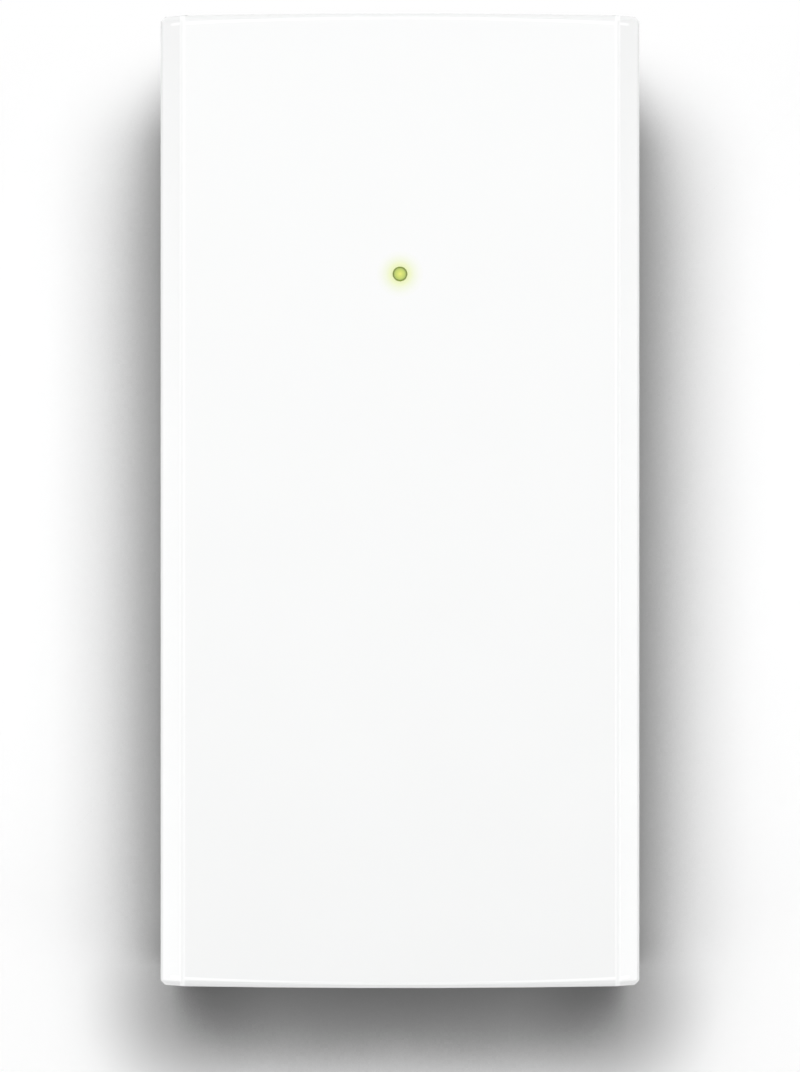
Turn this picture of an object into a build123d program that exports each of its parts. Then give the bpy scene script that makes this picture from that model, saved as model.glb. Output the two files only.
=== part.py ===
"""A mains power-over-Ethernet injector: a two-part moulded case with a mains inlet at one end, two
shielded modular jacks at the other, a status light on top and the power supply board inside.

Frame: millimetres, +Z up, +Y towards the jacks. The origin is at the middle of the case, on the
surface that its feet stand on.
"""

import os

from build123d import *

os.makedirs("parts", exist_ok=True)

# ---------------------------------------------------------------- driving dimensions, millimetres

# Case
CASE_LENGTH = 128.0
CASE_WIDTH = 63.0
CASE_HEIGHT = 37.0
WALL = 2.2
END_BOW = 0.3  # how far the middle of each end stands out beyond its corners
BEVEL_WIDTH = 2.9  # sloped strip along each long edge, seen from above
BEVEL_DROP = 2.0
LONG_EDGE_RADIUS = 1.0
END_EDGE_BEVEL = 0.6

# Lap joint between the two halves
LAP_HEIGHT = 1.5
LAP_THICKNESS = 1.0
LAP_GAP = 0.12
SEAM_BEVEL = 0.2

# Screws that close the case from below
POST_SIZE = 7.2  # square posts of the top shell
BOSS_SIZE = 9.8  # square bosses of the bottom shell
POST_INSET = 4.5  # from the inside of the walls
POST_GAP = 0.1
SCREW_RECESS_RADIUS = 3.0
SCREW_RECESS_DEPTH = 5.0
SCREW_WEB = 3.0
SCREW_RADIUS = 1.4
SCREW_LENGTH = 12.0
SCREW_HEAD_RADIUS = 2.6
SCREW_HEAD_HEIGHT = 2.1
SCREW_GAP = 0.3
THREAD_GAP = 0.04
PILOT_SPARE = 1.0
CROSS_WIDTH = 0.8
CROSS_SPAN = 3.2
CROSS_DEPTH = 1.2

# Feet
FOOT_SIZE = 9.0
FOOT_PROUD = 1.0
FOOT_BEVEL = 1.2
FOOT_TAPER = 20.0  # of the sides, in degrees
FOOT_EDGE_GAP = 2.5  # from the bevel to the foot
FOOT_SCREW_GAP = 3.0  # from the screw's recess to the foot

# Keyholes for hanging the case on two wall screws
KEYHOLE_PITCH = 76.0
KEYHOLE_RADIUS = 3.75
KEYHOLE_SLOT_WIDTH = 4.6
KEYHOLE_TRAVEL = 7.0
POCKET_DEPTH = 2.4  # room for the screw's head above the floor
POCKET_WALL = 0.9
POCKET_GAP = 0.3

# Shallow recess in the underside
UNDERSIDE_RECESS_LENGTH = 50.0
UNDERSIDE_RECESS_WIDTH = 38.0
UNDERSIDE_RECESS_DEPTH = 0.3

# Status light
LIGHT_SETBACK = 34.25  # from the jack end of the case
LIGHT_HOLE_RADIUS = 0.96
LIGHT_TIP_RADIUS = 0.8
PIPE_RADIUS = 1.9
PIPE_COLLAR_WALL = 1.1
PIPE_COLLAR_HEIGHT = 6.0
PIPE_GAP = 0.1
LED_LENGTH = 2.0
LED_WIDTH = 1.25
LED_HEIGHT = 0.8
LED_LENS_LENGTH = 1.2
LED_BASE_HEIGHT = 0.35
LED_GAP = 0.2

# Board
BOARD_THICKNESS = 1.6
STANDOFF_HEIGHT = 4.9
BOARD_GAP = 1.0
NOTCH_GAP = 0.6
SUPPORT_SIZE = 5.0
HOLD_DOWN_WALL = 0.9
SUPPORT_INSET_X = 4.5
SUPPORT_INSET_Y = 12.5
PEG_SIDES = 8
PEG_RADIUS = 1.3
PEG_STAND_OUT = 1.0
HOLE_GAP = 0.15
TAIL_LENGTH = 1.2  # how far the leads stand out below the board
SHEET_THICKNESS = 0.3
SHEET_GAP = 0.4

# Mains inlet
INLET_WIDTH = 27.0
INLET_HEIGHT = 19.6
INLET_CLIP = 5.2
INLET_DEPTH = 18.0
INLET_SETBACK = 0.3
MOUTH_WIDTH = 24.4
MOUTH_HEIGHT = 16.6
MOUTH_CLIP = 4.6
MOUTH_DEPTH = 16.2
MOUTH_BEVEL = 0.5
FLANGE_REACH = 1.8
FLANGE_THICKNESS = 2.0
FLANGE_GAP = 0.3
INLET_PEG_RADIUS = 1.5
INLET_PEG_PITCH = 21.0
INLET_PEG_SETBACK = 10.0
WINDOW_GAP = 0.2
WINDOW_BEVEL = 0.5
BLADE_THICKNESS = 2.0
BLADE_HEIGHT = 4.0
BLADE_PITCH = 14.0
BLADE_RISE = 4.0  # of the earth blade above the other two
BLADE_SETBACK = 1.8  # of the blades' tips behind the inlet's face
EARTH_LEAD = 0.8  # how much further the earth blade reaches
BLADE_TIP_BEVEL = 0.5
BLADE_GAP = 0.05
TERMINAL_THICKNESS = 0.9
TERMINAL_WIDTH = 2.0

# Modular jacks
JACK_PITCH = 19.0
JACK_WIDTH = 15.2
JACK_HEIGHT = 13.2
JACK_DEPTH = 15.5
JACK_SETBACK = 0.3
SHIELD_THICKNESS = 0.25
SHIELD_GAP = 0.05
SHIELD_LIFT = 0.1
SHIELD_WINDOW_GAP = 0.25
PLUG_WIDTH = 11.9
PLUG_HEIGHT = 6.9
PLUG_FLOOR = 4.4  # bottom of the plug's space above the board
LATCH_WIDTH = 6.4
LATCH_HEIGHT = 1.5
LATCH_SLOT_WIDTH = 3.6
LATCH_SLOT_HEIGHT = 1.2
LATCH_DEPTH = 9.0
CONTACT_COUNT = 8
CONTACT_PITCH = 1.02
CONTACT_SIZE = 0.34
CONTACT_SLOT = 0.56
CONTACT_SLOT_SETBACK = 1.6
CONTACT_ROOF = 0.6  # plastic above the contacts' slots
CONTACT_DROP = 0.5  # from the slots' roof to the middle of the contacts
CONTACT_NOSE = 2.3  # from the front of the plastic to the contacts' forward bend
CONTACT_BEND = 0.5
CONTACT_SLOPE = 20.0  # of the free arms, in degrees
CONTACT_ARM = 9.3
COMB_SETBACK = 10.6
COMB_HEIGHT = 4.1
TAIL_SETBACKS = (13.3, 14.8)
CARRIER_SETBACK = 12.4
CARRIER_HEIGHT = 11.7
CARRIER_GAP = 0.08
GROOVE_GAP = 0.1
SPRING_HEIGHT = 2.4
SPRING_DEPTH = 6.6
SPRING_BULGE = 0.65
SPRING_INSET = 0.55  # of the springs' ends outside the plug's space
SPRING_GAP = 0.2
JACK_PEG_RADIUS = 1.5
JACK_PEG_PITCH = 11.43
JACK_PEG_SETBACK = 8.9
LEG_WIDTH = 1.6
LEG_SETBACK = 5.4

# Parts on the board
LEAD_SIZE = 0.7
FLAT_LEAD_WIDTH = 0.9
FLAT_LEAD_THICKNESS = 0.5
HEADROOM = 2.2  # above the tallest part
RIB_HEIGHT = 1.2
RIB_THICKNESS = 1.0
RIB_COUNT = 4
RIB_SPREAD = 26.0  # between the two lengthwise ribs
BODY_BEVEL = 0.6

FUSE_LENGTH = 8.4
FUSE_WIDTH = 4.0
FUSE_HEIGHT = 7.7
FUSE_PITCH = 5.08

VARISTOR_RADIUS = 4.8
VARISTOR_THICKNESS = 4.0
DISC_PITCH = 5.0
DISC_LIFT = 1.2

FILTER_WIDTH = 17.0
FILTER_DEPTH = 7.5
FILTER_HEIGHT = 14.0
FILTER_PITCH = 15.0

CHOKE_WIDTH = 15.0
CHOKE_HEIGHT = 15.0
CHOKE_DEPTH = 4.4
CHOKE_LEG = 3.2
CHOKE_WINDING = 1.8
CHOKE_GAP = 0.05
CHOKE_BASE_WIDTH = 19.0
CHOKE_BASE_DEPTH = 9.0
CHOKE_BASE_THICKNESS = 2.0
CHOKE_PITCH_X = 12.0
CHOKE_PITCH_Y = 6.4

BRIDGE_LENGTH = 14.5
BRIDGE_THICKNESS = 3.8
BRIDGE_HEIGHT = 11.0
BRIDGE_LIFT = 2.0
BRIDGE_PITCH = 3.8
BRIDGE_CLIP = 2.4

BULK_RADIUS = 8.0
BULK_PITCH = 7.5

SINK_LENGTH = 19.0
SINK_HEIGHT = 21.0
SINK_THICKNESS = 1.8
FIN_COUNT = 6
FIN_REACH = 2.6
FIN_THICKNESS = 0.9
SINK_PIN_PITCH = 12.0
SINK_PIN_SIZE = 1.2

TAB_WIDTH = 10.0
TAB_THICKNESS = 1.3
TAB_HEIGHT = 15.3
TAB_LIFT = 4.0
MOULD_THICKNESS = 4.5
MOULD_HEIGHT = 9.0
TAB_PITCH = 2.54
PAD_THICKNESS = 0.2
PAD_MARGIN = 0.8
CLIP_WIDTH = 2.2
CLIP_THICKNESS = 0.5
CLIP_GAP = 0.05
CLIP_HOOK = 4.0  # how far it reaches down behind the sink's plate
CLIP_LIP = 0.9  # how far its lower end stands away from the package

CORE_WIDTH = 22.0
CORE_DEPTH = 9.0
CORE_HEIGHT = 19.0
CORE_LEG = 2.8
CORE_YOKE = 3.4
CORE_POST = 5.6
BOBBIN_WALL = 0.7
BOBBIN_FLANGE = 0.8
BOBBIN_GAP = 0.1
BOBBIN_BASE_HEIGHT = 2.4
BOBBIN_BASE_WIDTH = 20.0
BOBBIN_BASE_DEPTH = 20.0
BOBBIN_FLANGE_DEPTH = 18.4
COIL_THICKNESS = 3.3
COIL_BEVEL = 1.6
TRANSFORMER_PIN_COUNT = 4  # on each side
TRANSFORMER_PITCH = 4.0
TRANSFORMER_ROW_PITCH = 17.0

OPTO_LENGTH = 4.6
OPTO_WIDTH = 6.4
OPTO_HEIGHT = 3.4
OPTO_LIFT = 0.5
OPTO_PITCH = 2.54
OPTO_ROW_PITCH = 7.62
OPTO_LEAD_WIDTH = 0.5
OPTO_LEAD_THICKNESS = 0.3
CREEPAGE_WIDTH = 1.4
CREEPAGE_LENGTH = 7.0

SAFETY_RADIUS = 3.9
SAFETY_THICKNESS = 3.6

OUTPUT_RADIUS = 4.5
OUTPUT_HEIGHT = 18.0
OUTPUT_PITCH = 5.0

DRUM_RADIUS = 5.2
DRUM_SIDES = 8
DRUM_HEIGHT = 11.0
DRUM_FLANGE = 1.5
DRUM_POST_RADIUS = 2.6
DRUM_PITCH = 6.0
DRUM_GAP = 0.1
DRUM_WINDING_INSET = 0.7

CHIP_WIDTH = 3.9
CHIP_HEIGHT = 1.5
CHIP_LIFT = 0.15
CHIP_PITCH = 1.27
CHIP_END = 0.55  # from the last lead to the end of the body
CHIP_LEAD_WIDTH = 0.42
CHIP_LEAD_THICKNESS = 0.2
CHIP_LEAD_REACH = 1.05
CHIP_FOOT = 0.6
POWER_CHIP_LEAD_COUNT = 4  # on each side
PORT_CHIP_LEAD_COUNT = 4
MAGNETICS_LEAD_COUNT = 8
MAGNETICS_WIDTH = 9.4
MAGNETICS_HEIGHT = 5.6

# Places on the board: share of its half width, and share of the free length from inlet to jacks
FUSE_SHARES = (-0.73, 0.088)
FILTER_SHARES = (0.0, 0.088)
VARISTOR_SHARES = (0.74, 0.088)
CHOKE_SHARES = (-0.13, 0.26)
BRIDGE_SHARES = (-0.8, 0.26)
BULK_SHARES = (0.6, 0.26)
POWER_CHIP_SHARES = (-0.33, 0.345)
PRIMARY_SINK_SHARES = (-0.83, 0.49)
TRANSFORMER_SHARES = (0.0, 0.5)
OPTO_SHARES = (0.68, 0.43)
SAFETY_SHARES = (0.74, 0.55)
DRUM_SHARES = (-0.26, 0.69)
OUTPUT_SHARES = ((-0.73, 0.695), (-0.73, 0.835))
SECONDARY_SINK_SHARES = (0.83, 0.735)
MAGNETICS_SHARES = (-0.15, 0.912)
PORT_CHIP_SHARES = (0.5, 0.9)

# -------------------------------------------------------------------------- levels and positions

CASE_BOTTOM = FOOT_PROUD
CASE_TOP = CASE_BOTTOM + CASE_HEIGHT
PARTING = CASE_BOTTOM + CASE_HEIGHT / 2
FLOOR = CASE_BOTTOM + WALL
CEILING = CASE_TOP - WALL
BOARD_BOTTOM = FLOOR + STANDOFF_HEIGHT
BOARD_TOP = BOARD_BOTTOM + BOARD_THICKNESS
TAIL_END = BOARD_BOTTOM - TAIL_LENGTH

HALF_LENGTH = CASE_LENGTH / 2
HALF_WIDTH = CASE_WIDTH / 2
INNER_HALF_WIDTH = HALF_WIDTH - WALL
INNER_HALF_LENGTH = HALF_LENGTH - END_BOW - WALL  # at the corners
INNER_FLAT = INNER_HALF_WIDTH - BEVEL_WIDTH
BOARD_HALF_WIDTH = INNER_HALF_WIDTH - BOARD_GAP
BOARD_HALF_LENGTH = INNER_HALF_LENGTH - BOARD_GAP

POST_X = INNER_HALF_WIDTH - POST_INSET
POST_Y = INNER_HALF_LENGTH - POST_INSET
SCREW_SEAT = CASE_BOTTOM + SCREW_RECESS_DEPTH
POST_JOINT = SCREW_SEAT + SCREW_WEB
PILOT_END = SCREW_SEAT + SCREW_LENGTH + PILOT_SPARE
SUPPORT_X = BOARD_HALF_WIDTH - SUPPORT_INSET_X
SUPPORT_Y = BOARD_HALF_LENGTH - SUPPORT_INSET_Y
FOOT_X = HALF_WIDTH - BEVEL_WIDTH - FOOT_EDGE_GAP - FOOT_SIZE / 2
FOOT_Y = POST_Y - SCREW_RECESS_RADIUS - FOOT_SCREW_GAP - FOOT_SIZE / 2
LIGHT_Y = HALF_LENGTH - LIGHT_SETBACK

INLET_FACE = -HALF_LENGTH + INLET_SETBACK
INLET_REAR = INLET_FACE + INLET_DEPTH
INLET_MIDDLE = BOARD_TOP + INLET_HEIGHT / 2
INLET_PEG_Y = INLET_FACE + INLET_PEG_SETBACK
TERMINAL_Y = INLET_REAR + BLADE_GAP + TERMINAL_THICKNESS / 2
JACK_FACE = HALF_LENGTH - JACK_SETBACK
JACK_FRONT = JACK_FACE - SHIELD_THICKNESS - SHIELD_GAP  # front of the plastic
JACK_REAR = JACK_FRONT - JACK_DEPTH
SHIELD_HALF_WIDTH = JACK_WIDTH / 2 + SHIELD_GAP + SHIELD_THICKNESS
SHIELD_HEIGHT = JACK_HEIGHT + SHIELD_GAP + SHIELD_THICKNESS
PLUG_TOP = PLUG_FLOOR + PLUG_HEIGHT
SLOT_TOP = JACK_HEIGHT - CONTACT_ROOF
JACKS = {"data": -JACK_PITCH / 2, "power": JACK_PITCH / 2}

TALLEST = CEILING - BOARD_TOP - HEADROOM
ON_TOP = (Align.CENTER, Align.CENTER, Align.MIN)
BELOW = (Align.CENTER, Align.CENTER, Align.MAX)


def corners(x, y):
    """The four points at plus and minus x and y."""
    return [(-x, -y), (-x, y), (x, -y), (x, y)]


def spaced(count, pitch):
    """Evenly spaced offsets about zero."""
    return [(index - (count - 1) / 2) * pitch for index in range(count)]


def on_board(shares):
    """X and Y on the board, from shares of its half width and of its free length."""
    across, along = shares
    return across * BOARD_HALF_WIDTH, INLET_REAR + along * (JACK_REAR - INLET_REAR)


def around(place, offsets):
    """Points on the board at the given offsets from a place."""
    return [(place[0] + x, place[1] + y) for x, y in offsets]


def raised(points, height):
    """Points on the board at a height."""
    return [(x, y, height) for x, y in points]


SCREW_POSTS = corners(POST_X, POST_Y)
SUPPORTS = corners(SUPPORT_X, SUPPORT_Y)
SUPPORT_PEGS = [SUPPORTS[0], SUPPORTS[-1]]
FEET = corners(FOOT_X, FOOT_Y)
KEYHOLES = [(0, -KEYHOLE_PITCH / 2), (0, KEYHOLE_PITCH / 2)]

FUSE = on_board(FUSE_SHARES)
FILTER = on_board(FILTER_SHARES)
VARISTOR = on_board(VARISTOR_SHARES)
CHOKE = on_board(CHOKE_SHARES)
BRIDGE = on_board(BRIDGE_SHARES)
BULK = on_board(BULK_SHARES)
POWER_CHIP = on_board(POWER_CHIP_SHARES)
PRIMARY_SINK = on_board(PRIMARY_SINK_SHARES)
TRANSFORMER = on_board(TRANSFORMER_SHARES)
OPTO = on_board(OPTO_SHARES)
SAFETY = on_board(SAFETY_SHARES)
DRUM = on_board(DRUM_SHARES)
OUTPUTS = [on_board(shares) for shares in OUTPUT_SHARES]
SECONDARY_SINK = on_board(SECONDARY_SINK_SHARES)
MAGNETICS = on_board(MAGNETICS_SHARES)
PORT_CHIP = on_board(PORT_CHIP_SHARES)


def pair(pitch):
    """Offsets of two leads in line across the board."""
    return [(x, 0) for x in spaced(2, pitch)]


def tab_leads(sink, facing):
    """Where the three leads of a power package on a heat sink go; facing is the side it is on."""
    x = sink[0] + facing * (SINK_THICKNESS / 2 + PAD_THICKNESS + MOULD_THICKNESS / 2)
    return [(x, sink[1] + y) for y in spaced(3, TAB_PITCH)]


FUSE_LEADS = around(FUSE, pair(FUSE_PITCH))
FILTER_LEADS = around(FILTER, pair(FILTER_PITCH))
VARISTOR_LEADS = around(VARISTOR, pair(DISC_PITCH))
SAFETY_LEADS = around(SAFETY, pair(DISC_PITCH))
BULK_LEADS = around(BULK, pair(BULK_PITCH))
OUTPUT_LEADS = [around(place, pair(OUTPUT_PITCH)) for place in OUTPUTS]
DRUM_LEADS = around(DRUM, pair(DRUM_PITCH))
CHOKE_LEADS = around(CHOKE, corners(CHOKE_PITCH_X / 2, CHOKE_PITCH_Y / 2))
TRANSFORMER_LEADS = around(
    TRANSFORMER,
    [
        (x, y)
        for x in spaced(TRANSFORMER_PIN_COUNT, TRANSFORMER_PITCH)
        for y in spaced(2, TRANSFORMER_ROW_PITCH)
    ],
)
BRIDGE_LEADS = around(BRIDGE, [(0, y) for y in spaced(4, BRIDGE_PITCH)])
SWITCH_LEADS = tab_leads(PRIMARY_SINK, 1)
DIODE_LEADS = tab_leads(SECONDARY_SINK, -1)
OPTO_LEADS = around(OPTO, corners(OPTO_ROW_PITCH / 2, OPTO_PITCH / 2))
SINK_PINS = [
    (sink[0], sink[1] + y)
    for sink in (PRIMARY_SINK, SECONDARY_SINK)
    for y in spaced(2, SINK_PIN_PITCH)
]
BLADES = {
    "line": (-BLADE_PITCH / 2, -BLADE_RISE / 2, BLADE_SETBACK),
    "neutral": (BLADE_PITCH / 2, -BLADE_RISE / 2, BLADE_SETBACK),
    "earth": (0, BLADE_RISE / 2, BLADE_SETBACK - EARTH_LEAD),
}


def contact_tails(jack_x):
    """X and setback of each contact's tail, by turns in two rows."""
    offsets = spaced(CONTACT_COUNT, CONTACT_PITCH)
    return [(jack_x + x, TAIL_SETBACKS[index % 2]) for index, x in enumerate(offsets)]


# --------------------------------------------------------------------------------------- the case


def case_block(inset, rounded=False):
    """The case's form as one solid, moved inwards by inset: a bevelled section with bowed ends."""
    side = HALF_WIDTH - inset
    end = HALF_LENGTH - inset
    low = CASE_BOTTOM + inset
    high = CASE_TOP - inset
    flat = side - BEVEL_WIDTH
    with BuildPart() as block:
        with BuildSketch(Plane.XZ):
            with BuildLine():
                Polyline(
                    (-flat, low),
                    (flat, low),
                    (side, low + BEVEL_DROP),
                    (side, high - BEVEL_DROP),
                    (flat, high),
                    (-flat, high),
                    (-side, high - BEVEL_DROP),
                    (-side, low + BEVEL_DROP),
                    close=True,
                )
            make_face()
        extrude(amount=end, both=True)
        if rounded:
            fillet(block.edges().filter_by(Axis.Y), LONG_EDGE_RADIUS)
        with BuildSketch(Plane.XY.offset(low)):
            with BuildLine():
                right = Line((side, -end + END_BOW), (side, end - END_BOW))
                far = ThreePointArc(right @ 1, (0, end), (-side, end - END_BOW))
                left = Line(far @ 1, (-side, -end + END_BOW))
                ThreePointArc(left @ 1, (0, -end), right @ 0)
            make_face()
        extrude(amount=high - low, mode=Mode.INTERSECT)
        if rounded:
            ends = block.faces().sort_by(Axis.Y)
            chamfer(ends[0].edges() + ends[-1].edges(), END_EDGE_BEVEL)
    return block.part


def case_slice(inset, low, high):
    """The stretch of the inset case form between two heights."""
    with BuildPart() as piece:
        add(case_block(inset))
        split(bisect_by=Plane.XY.offset(low), keep=Keep.TOP)
        split(bisect_by=Plane.XY.offset(high), keep=Keep.BOTTOM)
    return piece.part


def inlet_outline(width, height, clip, low):
    """Corners of the inlet's shape in X and Z: a rectangle with its two upper corners cut off."""
    half = width / 2
    high = low + height
    return [
        (-half, low),
        (half, low),
        (half, high - clip),
        (half - clip, high),
        (-half + clip, high),
        (-half, high - clip),
    ]


INLET_OUTLINE = inlet_outline(INLET_WIDTH, INLET_HEIGHT, INLET_CLIP, BOARD_TOP)
MOUTH_OUTLINE = inlet_outline(MOUTH_WIDTH, MOUTH_HEIGHT, MOUTH_CLIP, INLET_MIDDLE - MOUTH_HEIGHT / 2)
FLANGE_OUTLINE = inlet_outline(
    INLET_WIDTH + 2 * FLANGE_REACH, INLET_HEIGHT + FLANGE_REACH, INLET_CLIP, BOARD_TOP
)

with BuildPart() as end_windows:
    bevel_start = HALF_LENGTH - END_BOW - WINDOW_BEVEL
    through = WALL + END_BOW
    with BuildSketch(Plane.XZ.offset(bevel_start)) as inlet_window:
        with BuildLine():
            Polyline(*INLET_OUTLINE, close=True)
        make_face()
        offset(amount=WINDOW_GAP, kind=Kind.INTERSECTION)
    extrude(amount=2 * WINDOW_BEVEL, taper=-45)
    extrude(inlet_window.sketch, amount=-through)
    with BuildSketch(Plane.XZ.offset(-bevel_start)) as jack_windows:
        with Locations(*[(x, BOARD_TOP + SHIELD_HEIGHT / 2) for x in JACKS.values()]):
            Rectangle(2 * (SHIELD_HALF_WIDTH + WINDOW_GAP), SHIELD_HEIGHT + 2 * WINDOW_GAP)
    for window in jack_windows.sketch.faces():
        extrude(window, amount=-2 * WINDOW_BEVEL, taper=-45)
        extrude(window, amount=through)

outer_form = case_block(0, rounded=True)
hollow_form = case_block(WALL)
tongue_form = case_slice(WALL - LAP_THICKNESS, FLOOR, PARTING + LAP_HEIGHT)
groove_form = case_slice(WALL - LAP_THICKNESS - LAP_GAP, FLOOR, PARTING + LAP_HEIGHT + LAP_GAP)

# Top shell: screw posts, hollow posts that hold the board down, ceiling ribs and the collar
# that keeps the light pipe upright. Its rim steps back to take the bottom shell's tongue.
with BuildPart() as top_shell:
    add(outer_form)
    split(bisect_by=Plane.XY.offset(PARTING), keep=Keep.TOP)
    chamfer(top_shell.faces().sort_by(Axis.Z)[0].edges(), SEAM_BEVEL)
    add(hollow_form, mode=Mode.SUBTRACT)
    add(groove_form, mode=Mode.SUBTRACT)
    with Locations(*[(0, y, CEILING) for y in spaced(RIB_COUNT, CASE_LENGTH / (RIB_COUNT + 1))]):
        Box(2 * INNER_HALF_WIDTH, RIB_THICKNESS, RIB_HEIGHT, align=BELOW)
    with Locations(*[(x, 0, CEILING) for x in spaced(2, RIB_SPREAD)]):
        Box(RIB_THICKNESS, 2 * INNER_HALF_LENGTH, RIB_HEIGHT, align=BELOW)
    with Locations(*raised(SCREW_POSTS, CEILING)):
        Box(POST_SIZE, POST_SIZE, CEILING - POST_JOINT - POST_GAP, align=BELOW)
    with Locations(*raised(SCREW_POSTS, POST_JOINT)):
        Cylinder(SCREW_RADIUS + THREAD_GAP, PILOT_END - POST_JOINT, align=ON_TOP, mode=Mode.SUBTRACT)
    with Locations(*raised(SUPPORTS, CEILING)):
        hold_down_length = CEILING - BOARD_TOP - POST_GAP
        hold_down_bore = SUPPORT_SIZE - 2 * HOLD_DOWN_WALL
        Box(SUPPORT_SIZE, SUPPORT_SIZE, hold_down_length, align=BELOW)
        Box(hold_down_bore, hold_down_bore, hold_down_length, align=BELOW, mode=Mode.SUBTRACT)
    with Locations((0, LIGHT_Y, CEILING)):
        collar_bore = PIPE_RADIUS + PIPE_GAP
        collar_size = 2 * (collar_bore + PIPE_COLLAR_WALL)
        Box(collar_size, collar_size, PIPE_COLLAR_HEIGHT, align=BELOW)
        Cylinder(collar_bore, PIPE_COLLAR_HEIGHT, align=BELOW, mode=Mode.SUBTRACT)
        Cylinder(LIGHT_HOLE_RADIUS, WALL, align=ON_TOP, mode=Mode.SUBTRACT)
    add(end_windows.part, mode=Mode.SUBTRACT)
top_shell.part.label = "top_shell"
export_step(top_shell.part, "parts/top_shell.step")

# Bottom shell: floor with screw bosses, board supports, two of them with pegs, and two keyholes,
# each under a closed pocket that keeps the wall screw away from the board.
with BuildSketch(Plane.XY.offset(CASE_BOTTOM)) as keyhole_cut:
    for x, y in KEYHOLES:
        with Locations((x, y)):
            Circle(KEYHOLE_RADIUS)
        with Locations((x, y + KEYHOLE_TRAVEL / 2)):
            SlotCenterToCenter(KEYHOLE_TRAVEL, KEYHOLE_SLOT_WIDTH, rotation=90)


def pocket_outline(extra, height):
    """The outline of both keyhole pockets, widened by extra, at a height."""
    with BuildSketch(Plane.XY.offset(height)) as outline:
        with Locations(*around((0, KEYHOLE_TRAVEL / 2), KEYHOLES)):
            pocket_width = 2 * (KEYHOLE_RADIUS + POCKET_GAP + extra)
            Rectangle(pocket_width, pocket_width + KEYHOLE_TRAVEL)
    return outline.sketch


with BuildPart() as bottom_shell:
    add(outer_form)
    split(bisect_by=Plane.XY.offset(PARTING), keep=Keep.BOTTOM)
    chamfer(bottom_shell.faces().sort_by(Axis.Z)[-1].edges(), SEAM_BEVEL)
    add(tongue_form)
    add(hollow_form, mode=Mode.SUBTRACT)
    with Locations(*raised(SCREW_POSTS, FLOOR)):
        Box(BOSS_SIZE, BOSS_SIZE, POST_JOINT - FLOOR, align=ON_TOP)
    with Locations(*raised(SCREW_POSTS, CASE_BOTTOM)):
        Cylinder(SCREW_RECESS_RADIUS, SCREW_RECESS_DEPTH, align=ON_TOP, mode=Mode.SUBTRACT)
    with Locations(*raised(SCREW_POSTS, SCREW_SEAT)):
        Cylinder(SCREW_RADIUS + SCREW_GAP, SCREW_WEB, align=ON_TOP, mode=Mode.SUBTRACT)
    with Locations(*raised(SUPPORTS, FLOOR)):
        Box(SUPPORT_SIZE, SUPPORT_SIZE, STANDOFF_HEIGHT, align=ON_TOP)
    with BuildSketch(Plane.XY.offset(BOARD_BOTTOM)):
        with Locations(*SUPPORT_PEGS):
            RegularPolygon(PEG_RADIUS, PEG_SIDES)
    extrude(amount=BOARD_THICKNESS + PEG_STAND_OUT)
    extrude(pocket_outline(POCKET_WALL, FLOOR), amount=POCKET_DEPTH + POCKET_WALL)
    extrude(pocket_outline(0, FLOOR), amount=POCKET_DEPTH, mode=Mode.SUBTRACT)
    extrude(keyhole_cut.sketch, amount=WALL, mode=Mode.SUBTRACT)
    with Locations((0, 0, CASE_BOTTOM)):
        Box(
            UNDERSIDE_RECESS_WIDTH,
            UNDERSIDE_RECESS_LENGTH,
            UNDERSIDE_RECESS_DEPTH,
            align=ON_TOP,
            mode=Mode.SUBTRACT,
        )
    add(end_windows.part, mode=Mode.SUBTRACT)
bottom_shell.part.label = "bottom_shell"
export_step(bottom_shell.part, "parts/bottom_shell.step")

# Four self-tapping screws: pan heads in the underside's recesses, shanks in the top shell's posts.
with BuildPart() as case_screws:
    with Locations(*raised(SCREW_POSTS, SCREW_SEAT)):
        Cylinder(SCREW_RADIUS, SCREW_LENGTH, align=ON_TOP)
        Cylinder(SCREW_HEAD_RADIUS, SCREW_HEAD_HEIGHT, align=BELOW)
    with Locations(*raised(SCREW_POSTS, SCREW_SEAT - SCREW_HEAD_HEIGHT)):
        Box(CROSS_SPAN, CROSS_WIDTH, CROSS_DEPTH, align=ON_TOP, mode=Mode.SUBTRACT)
        Box(CROSS_WIDTH, CROSS_SPAN, CROSS_DEPTH, align=ON_TOP, mode=Mode.SUBTRACT)
case_screws.part.label = "case_screws"
export_step(case_screws.part, "parts/case_screws.step")

# Four soft feet with sloping sides, glued to the underside.
for index, (x, y) in enumerate(FEET, start=1):
    with BuildPart() as rubber_foot:
        with BuildSketch(Plane.XY.offset(CASE_BOTTOM)) as glued_face:
            with Locations((x, y)):
                Rectangle(FOOT_SIZE, FOOT_SIZE)
            chamfer(glued_face.vertices(), FOOT_BEVEL)
        extrude(amount=-FOOT_PROUD, taper=FOOT_TAPER)
    rubber_foot.part.label = f"rubber_foot_{index}"
    export_step(rubber_foot.part, f"parts/rubber_foot_{index}.step")

# Light pipe: stands on the board over the light and ends flush in the top shell's small hole.
with BuildPart() as light_pipe:
    with Locations((0, LIGHT_Y, BOARD_TOP)):
        Cylinder(PIPE_RADIUS, CEILING - BOARD_TOP, align=ON_TOP)
    with Locations((0, LIGHT_Y, CEILING)):
        Cylinder(LIGHT_TIP_RADIUS, WALL, align=ON_TOP)
    with Locations((0, LIGHT_Y, BOARD_TOP)):
        Box(
            LED_LENGTH + 2 * LED_GAP,
            LED_WIDTH + 2 * LED_GAP,
            LED_HEIGHT + LED_GAP,
            align=ON_TOP,
            mode=Mode.SUBTRACT,
        )
light_pipe.part.label = "light_pipe"
export_step(light_pipe.part, "parts/light_pipe.step")

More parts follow.
